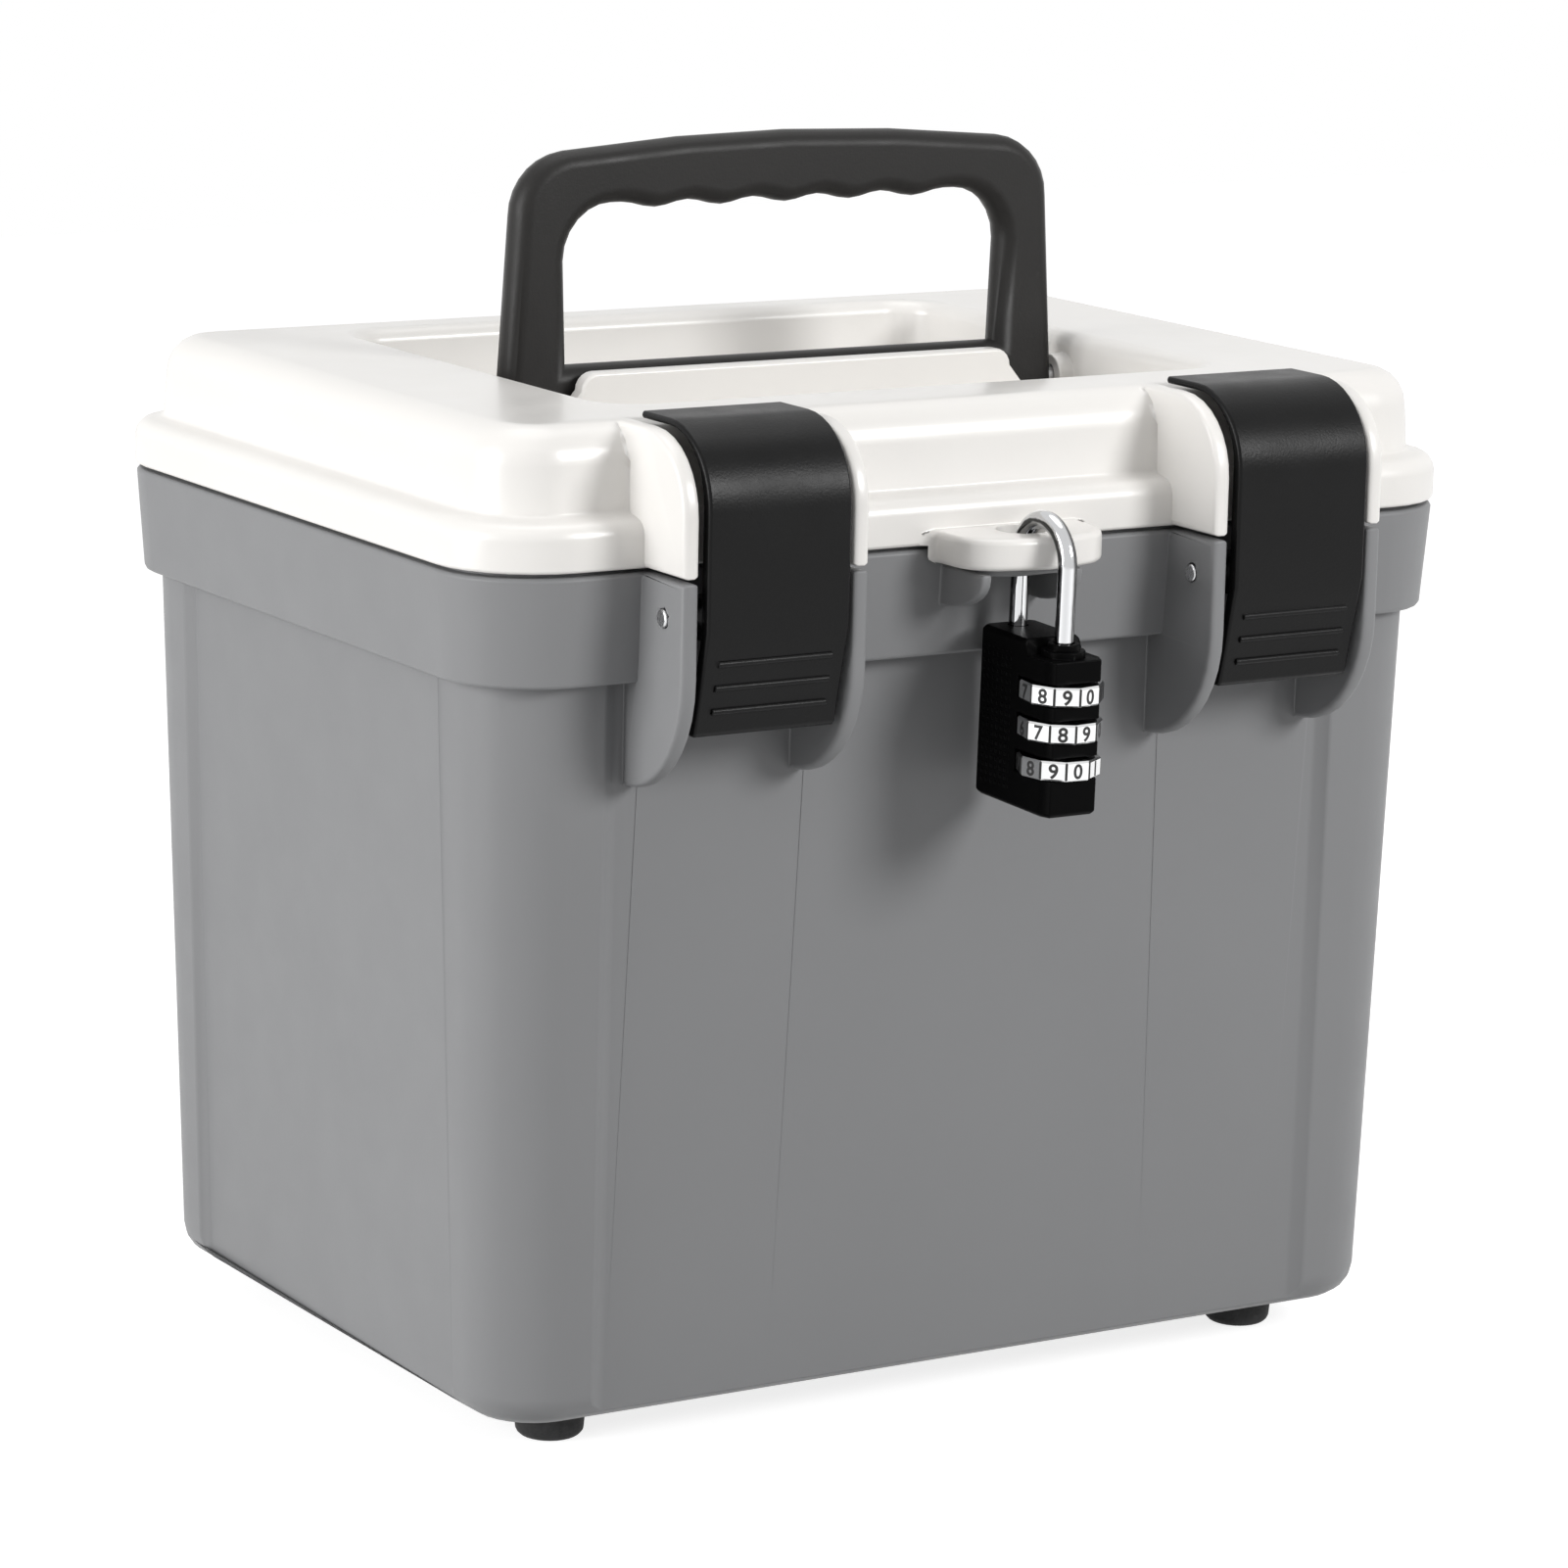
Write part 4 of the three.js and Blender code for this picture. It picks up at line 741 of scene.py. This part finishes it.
class LOCKBOX_OT_shackle(bpy.types.Operator):
    """Models the shackle from one round section: a long leg, a half-turn bow and a short leg"""

    bl_idname = "lockbox.shackle"
    bl_label = "Shackle"
    bl_options = {"REGISTER", "UNDO"}

    def execute(self, context):
        pivot = Vector(JOINT_OF["padlock_swing"]["pos_m"])
        upright = [Matrix.Rotation(-HANG, 3, "X") @ (vertex.co - pivot)
                   for vertex in frame["nodes"]["shackle"].data.vertices]
        radius = max(place.x for place in upright)
        bow_radius = max(place.y for place in upright) - radius
        long_end = min(place.z for place in upright if place.y < 0)
        short_end = min(place.z for place in upright if place.y > 0)
        bpy.ops.mesh.primitive_circle_add(
            vertices=WIRE_SIDES, radius=radius, fill_type="NGON", location=(0, -bow_radius, long_end))
        piece = bpy.context.active_object
        piece.name = "shackle_bow"
        settle(piece)
        bpy.ops.object.mode_set(mode="EDIT")
        bpy.ops.mesh.select_all(action="SELECT")
        bpy.ops.mesh.extrude_region_move(TRANSFORM_OT_translate={"value": (0, 0, -long_end)})
        bpy.ops.mesh.spin(steps=BOW_STEPS, angle=math.pi, center=(0, 0, 0), axis=(1, 0, 0))
        bpy.ops.mesh.extrude_region_move(TRANSFORM_OT_translate={"value": (0, 0, short_end)})
        bpy.ops.mesh.select_all(action="SELECT")
        bpy.ops.mesh.normals_make_consistent(inside=False)
        bpy.ops.object.mode_set(mode="OBJECT")
        round_edges(piece, WIRE_END_RADIUS, WIRE_END_ANGLE)
        shade(piece, ROUND_BAR_SHARP)
        piece.matrix_world = Matrix.Translation(pivot) @ Matrix.Rotation(HANG, 4, "X")
        settle(piece)
        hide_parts("shackle")
        # The chrome's base colour holds painted reflections
        finish_piece(piece, "padlock_shackle", chrome_wire("shackle_chrome_painted_reflections"))
        return {"FINISHED"}


class LOCKBOX_OT_dials(bpy.types.Operator):
    """Cuts the grooves between the faces of the number wheels, darkens them with painted shade, and lays a digit
    on each face
    """

    bl_idname = "lockbox.dials"
    bl_label = "Dials"
    bl_options = {"REGISTER", "UNDO"}

    def execute(self, context):
        settings = context.scene.lock_box_dials
        metal = polished_metal(
            "dial_satin_metal", DIAL_COLOUR, roughness=0.42, along=(1, 1, 0.1), scratch=0.5,
            tones=(0.45, 1.2), patch=1.1 * MM)
        # The digits' black print, also used as painted shade in the grooves
        paint = digit_paint("dial_digit_print_and_groove_shade")
        for place in ("top", "middle", "bottom"):
            node = "dial_" + place
            wheel = merged_copy(node, node + "_wheel")
            centre, radius, turn = self.measure(wheel)
            hang = Matrix.Rotation(HANG, 4, "X")
            to_place = Matrix.Translation(centre) @ hang @ Matrix.Rotation(turn, 4, "Z")
            wheel.data.materials.append(metal)
            self.cut_grooves(wheel, radius, to_place, paint, settings)
            shade(wheel, DIAL_SHARP)
            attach(wheel, place + "_dial")
            face = radius * math.cos(math.pi / DIGITS_ON_DIAL)
            digits = self.digit_ring(node, face, to_place, getattr(settings, place + "_front"), settings)
            finish_piece(digits, place + "_dial", paint)
        return {"FINISHED"}

    def measure(self, wheel):
        """The wheel's middle, its corner radius, and how far its front face is turned to the right."""
        places = [vertex.co for vertex in wheel.data.vertices]
        centre = sum(places, Vector()) / len(places)
        upright = [Matrix.Rotation(-HANG, 3, "X") @ (place - centre) for place in places]
        corner = max(upright, key=lambda place: place.xy.length)
        step = 2 * math.pi / DIGITS_ON_DIAL
        turn = (math.atan2(corner.x, -corner.y) + step / 2) % step
        if turn > step / 2:
            turn -= step
        return centre, corner.xy.length, turn

    def cut_grooves(self, wheel, radius, to_place, paint, settings):
        """Cuts a round groove along each edge between two faces of the wheel, whose walls take the black digit
        material as painted shade.
        """
        step = 2 * math.pi / DIGITS_ON_DIAL
        bpy.ops.mesh.primitive_cylinder_add(
            vertices=GROOVE_SIDES, radius=settings.groove_width / 2, depth=radius,
            location=(radius * math.sin(step / 2), -radius * math.cos(step / 2), 0))
        cutter = bpy.context.active_object
        settle(cutter)
        bpy.ops.object.mode_set(mode="EDIT")
        bpy.ops.mesh.select_all(action="SELECT")
        copies = DIGITS_ON_DIAL - 1
        bpy.ops.mesh.spin(
            steps=copies, dupli=True, angle=step * copies, center=(0, 0, 0), axis=(0, 0, 1))
        bpy.ops.object.mode_set(mode="OBJECT")
        # The groove walls take the black digit material: painted shade in the grooves
        cutter.data.materials.append(paint)
        cutter.matrix_world = to_place
        settle(cutter)
        apply_modifier(
            wheel, "BOOLEAN", operation="DIFFERENCE", object=cutter, solver="EXACT",
            material_mode="TRANSFER")
        bpy.data.objects.remove(cutter)

    def digit_ring(self, node, face, to_place, front_digit, settings):
        """One mesh of the wheel's ten digits, each flat on its face."""
        glyphs = []
        for digit in range(DIGITS_ON_DIAL):
            bpy.ops.object.text_add()
            glyph = bpy.context.active_object
            glyph.data.body = str(digit)
            glyph.data.size = settings.digit_height / DIGIT_SHARE_OF_SIZE
            glyph.data.extrude = settings.digit_relief
            glyph.data.offset = settings.digit_boldness
            glyph.data.resolution_u = DIGIT_CURVE_STEPS
            bpy.ops.object.convert(target="MESH")
            bpy.ops.object.origin_set(type="ORIGIN_GEOMETRY", center="BOUNDS")
            turn = (digit - front_digit) / DIGITS_ON_DIAL * 2 * math.pi
            stand = Matrix.Translation((0, -face, 0)) @ Matrix.Rotation(math.pi / 2, 4, "X")
            glyph.matrix_world = to_place @ Matrix.Rotation(turn, 4, "Z") @ stand
            settle(glyph)
            glyphs.append(glyph)
        pick(*glyphs)
        bpy.ops.object.join()
        ring = bpy.context.active_object
        ring.name = node + "_digits"
        return ring


class LOCKBOX_OT_tray(bpy.types.Operator):
    """Rounds the lift-out tray and gives it pale plastic"""

    bl_idname = "lockbox.tray"
    bl_label = "Tray"
    bl_options = {"REGISTER", "UNDO"}

    def execute(self, context):
        edges = context.scene.lock_box_edges
        finish = context.scene.lock_box_finish
        piece = rounded_copy("lift_out_tray", "compartment_tray", edges.case_edge, edges.sharp_angle)
        material = moulded_plastic(
            "tray_pale_plastic", TRAY_COLOUR, finish.grain,
            roughness=0.42, relief=0.03 * MM, mottle=0.02, edge_light=1.1, specular=0.5)
        finish_piece(piece, "tray", material)
        return {"FINISHED"}


class LOCKBOX_OT_stage(bpy.types.Operator):
    """Adds the floor, the lamps, the white surroundings and the camera"""

    bl_idname = "lockbox.stage"
    bl_label = "Stage"
    bl_options = {"REGISTER", "UNDO"}

    def execute(self, context):
        settings = context.scene.lock_box_stage
        self.floor()
        self.surroundings(context.scene, settings)
        self.lamp("lamp_left", settings.left_power, WIDE_LAMP, LEFT_LAMP_PLACE)
        self.lamp("lamp_right", settings.right_power, NARROW_LAMP, RIGHT_LAMP_PLACE)
        self.lamp("lamp_top", settings.top_power, WIDE_LAMP, TOP_LAMP_PLACE)
        self.camera(context.scene, settings)
        context.scene.view_settings.view_transform = "Standard"
        return {"FINISHED"}

    def floor(self):
        bpy.ops.mesh.primitive_grid_add(
            x_subdivisions=FLOOR_CELLS, y_subdivisions=FLOOR_CELLS, size=FLOOR_SIZE, location=(0, 0, 0))
        floor = bpy.context.active_object
        floor.name = "stage_floor"
        settle(floor)
        floor.data.materials.append(white_stage("stage_white", FLOOR_COLOUR, FLOOR_GLOW))

    def surroundings(self, scene, settings):
        """White where they are seen, and dimmer where they light the box."""
        world = bpy.data.worlds.new("studio")
        scene.world = world
        world.use_nodes = True
        tree = world.node_tree
        tree.nodes.clear()
        output = tree.nodes.new("ShaderNodeOutputWorld")
        mix = tree.nodes.new("ShaderNodeMixShader")
        tree.links.new(add_seen_rays(tree), mix.inputs["Fac"])
        for socket, strength in ((mix.inputs[1], settings.ambient), (mix.inputs[2], 1)):
            background = tree.nodes.new("ShaderNodeBackground")
            background.inputs["Color"].default_value = (1, 1, 1, 1)
            background.inputs["Strength"].default_value = strength
            tree.links.new(background.outputs["Background"], socket)
        tree.links.new(mix.outputs["Shader"], output.inputs["Surface"])

    def lamp(self, name, power, size, place):
        """A round lamp at the place, turned to the middle of the box."""
        bpy.ops.object.light_add(type="AREA", location=place)
        lamp = bpy.context.active_object
        lamp.name = name
        lamp.data.energy = power
        lamp.data.shape = "DISK"
        lamp.data.size = size
        lamp.rotation_euler = (LAMP_TARGET - Vector(place)).to_track_quat("-Z", "Y").to_euler()

    def camera(self, scene, settings):
        """The photograph's camera, placed by its angles and its distance from the middle of the case."""
        feet = [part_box(node) for node in FEET]
        middle_depth = sum(low.y + high.y for low, high in feet) / (2 * len(feet))
        target = Vector((0, middle_depth, settings.target_height))
        cos_up = math.cos(settings.elevation)
        outward = Vector((
            math.sin(settings.azimuth) * cos_up,
            -math.cos(settings.azimuth) * cos_up,
            math.sin(settings.elevation),
        ))
        right = (-outward).cross(Vector((0, 0, 1))).normalized()
        up = right.cross(-outward)
        cos_roll = math.cos(settings.roll)
        sin_roll = math.sin(settings.roll)
        axes = Matrix((
            cos_roll * right + sin_roll * up,
            cos_roll * up - sin_roll * right,
            outward,
        )).transposed()
        bpy.ops.object.camera_add()
        camera = bpy.context.active_object
        camera.name = "photo_camera"
        camera.matrix_world = Matrix.Translation(target + outward * settings.distance) @ axes.to_4x4()
        camera.data.sensor_width = FRAME_WIDTH_IN_MM
        camera.data.lens = settings.lens
        camera.data.shift_x = settings.shift_x
        camera.data.shift_y = settings.shift_y
        camera.data.clip_end = VIEW_END
        scene.camera = camera


class LOCKBOX_PT_panel(bpy.types.Panel):
    """Lists the lock box's pieces and their settings"""

    bl_idname = "LOCKBOX_PT_panel"
    bl_label = "Lock Box"
    bl_space_type = "VIEW_3D"
    bl_region_type = "UI"
    bl_category = "Lock Box"

    def draw(self, context):
        for name, group in SETTINGS:
            box = self.layout.box()
            box.label(text=group.__doc__)
            for key in group.__annotations__:
                box.prop(getattr(context.scene, name), key)
        for operator in OPERATORS:
            self.layout.operator(operator.bl_idname)


OPERATORS = (
    LOCKBOX_OT_case,
    LOCKBOX_OT_feet,
    LOCKBOX_OT_lid,
    LOCKBOX_OT_handle,
    LOCKBOX_OT_latches,
    LOCKBOX_OT_pins,
    LOCKBOX_OT_padlock,
    LOCKBOX_OT_shackle,
    LOCKBOX_OT_dials,
    LOCKBOX_OT_tray,
    LOCKBOX_OT_stage,
)


def register():
    for _, group in SETTINGS:
        bpy.utils.register_class(group)
    for operator in OPERATORS:
        bpy.utils.register_class(operator)
    bpy.utils.register_class(LOCKBOX_PT_panel)
    for name, group in SETTINGS:
        setattr(bpy.types.Scene, name, bpy.props.PointerProperty(type=group))


def unregister():
    for name, _ in SETTINGS:
        delattr(bpy.types.Scene, name)
    bpy.utils.unregister_class(LOCKBOX_PT_panel)
    for operator in reversed(OPERATORS):
        bpy.utils.unregister_class(operator)
    for _, group in reversed(SETTINGS):
        bpy.utils.unregister_class(group)


def main():
    register()
    bpy.ops.lockbox.case()
    bpy.ops.lockbox.feet()
    bpy.ops.lockbox.lid()
    bpy.ops.lockbox.handle()
    bpy.ops.lockbox.latches()
    bpy.ops.lockbox.pins()
    bpy.ops.lockbox.padlock()
    bpy.ops.lockbox.shackle()
    bpy.ops.lockbox.dials()
    bpy.ops.lockbox.tray()
    bpy.ops.lockbox.stage()


if __name__ == "__main__":
    main()
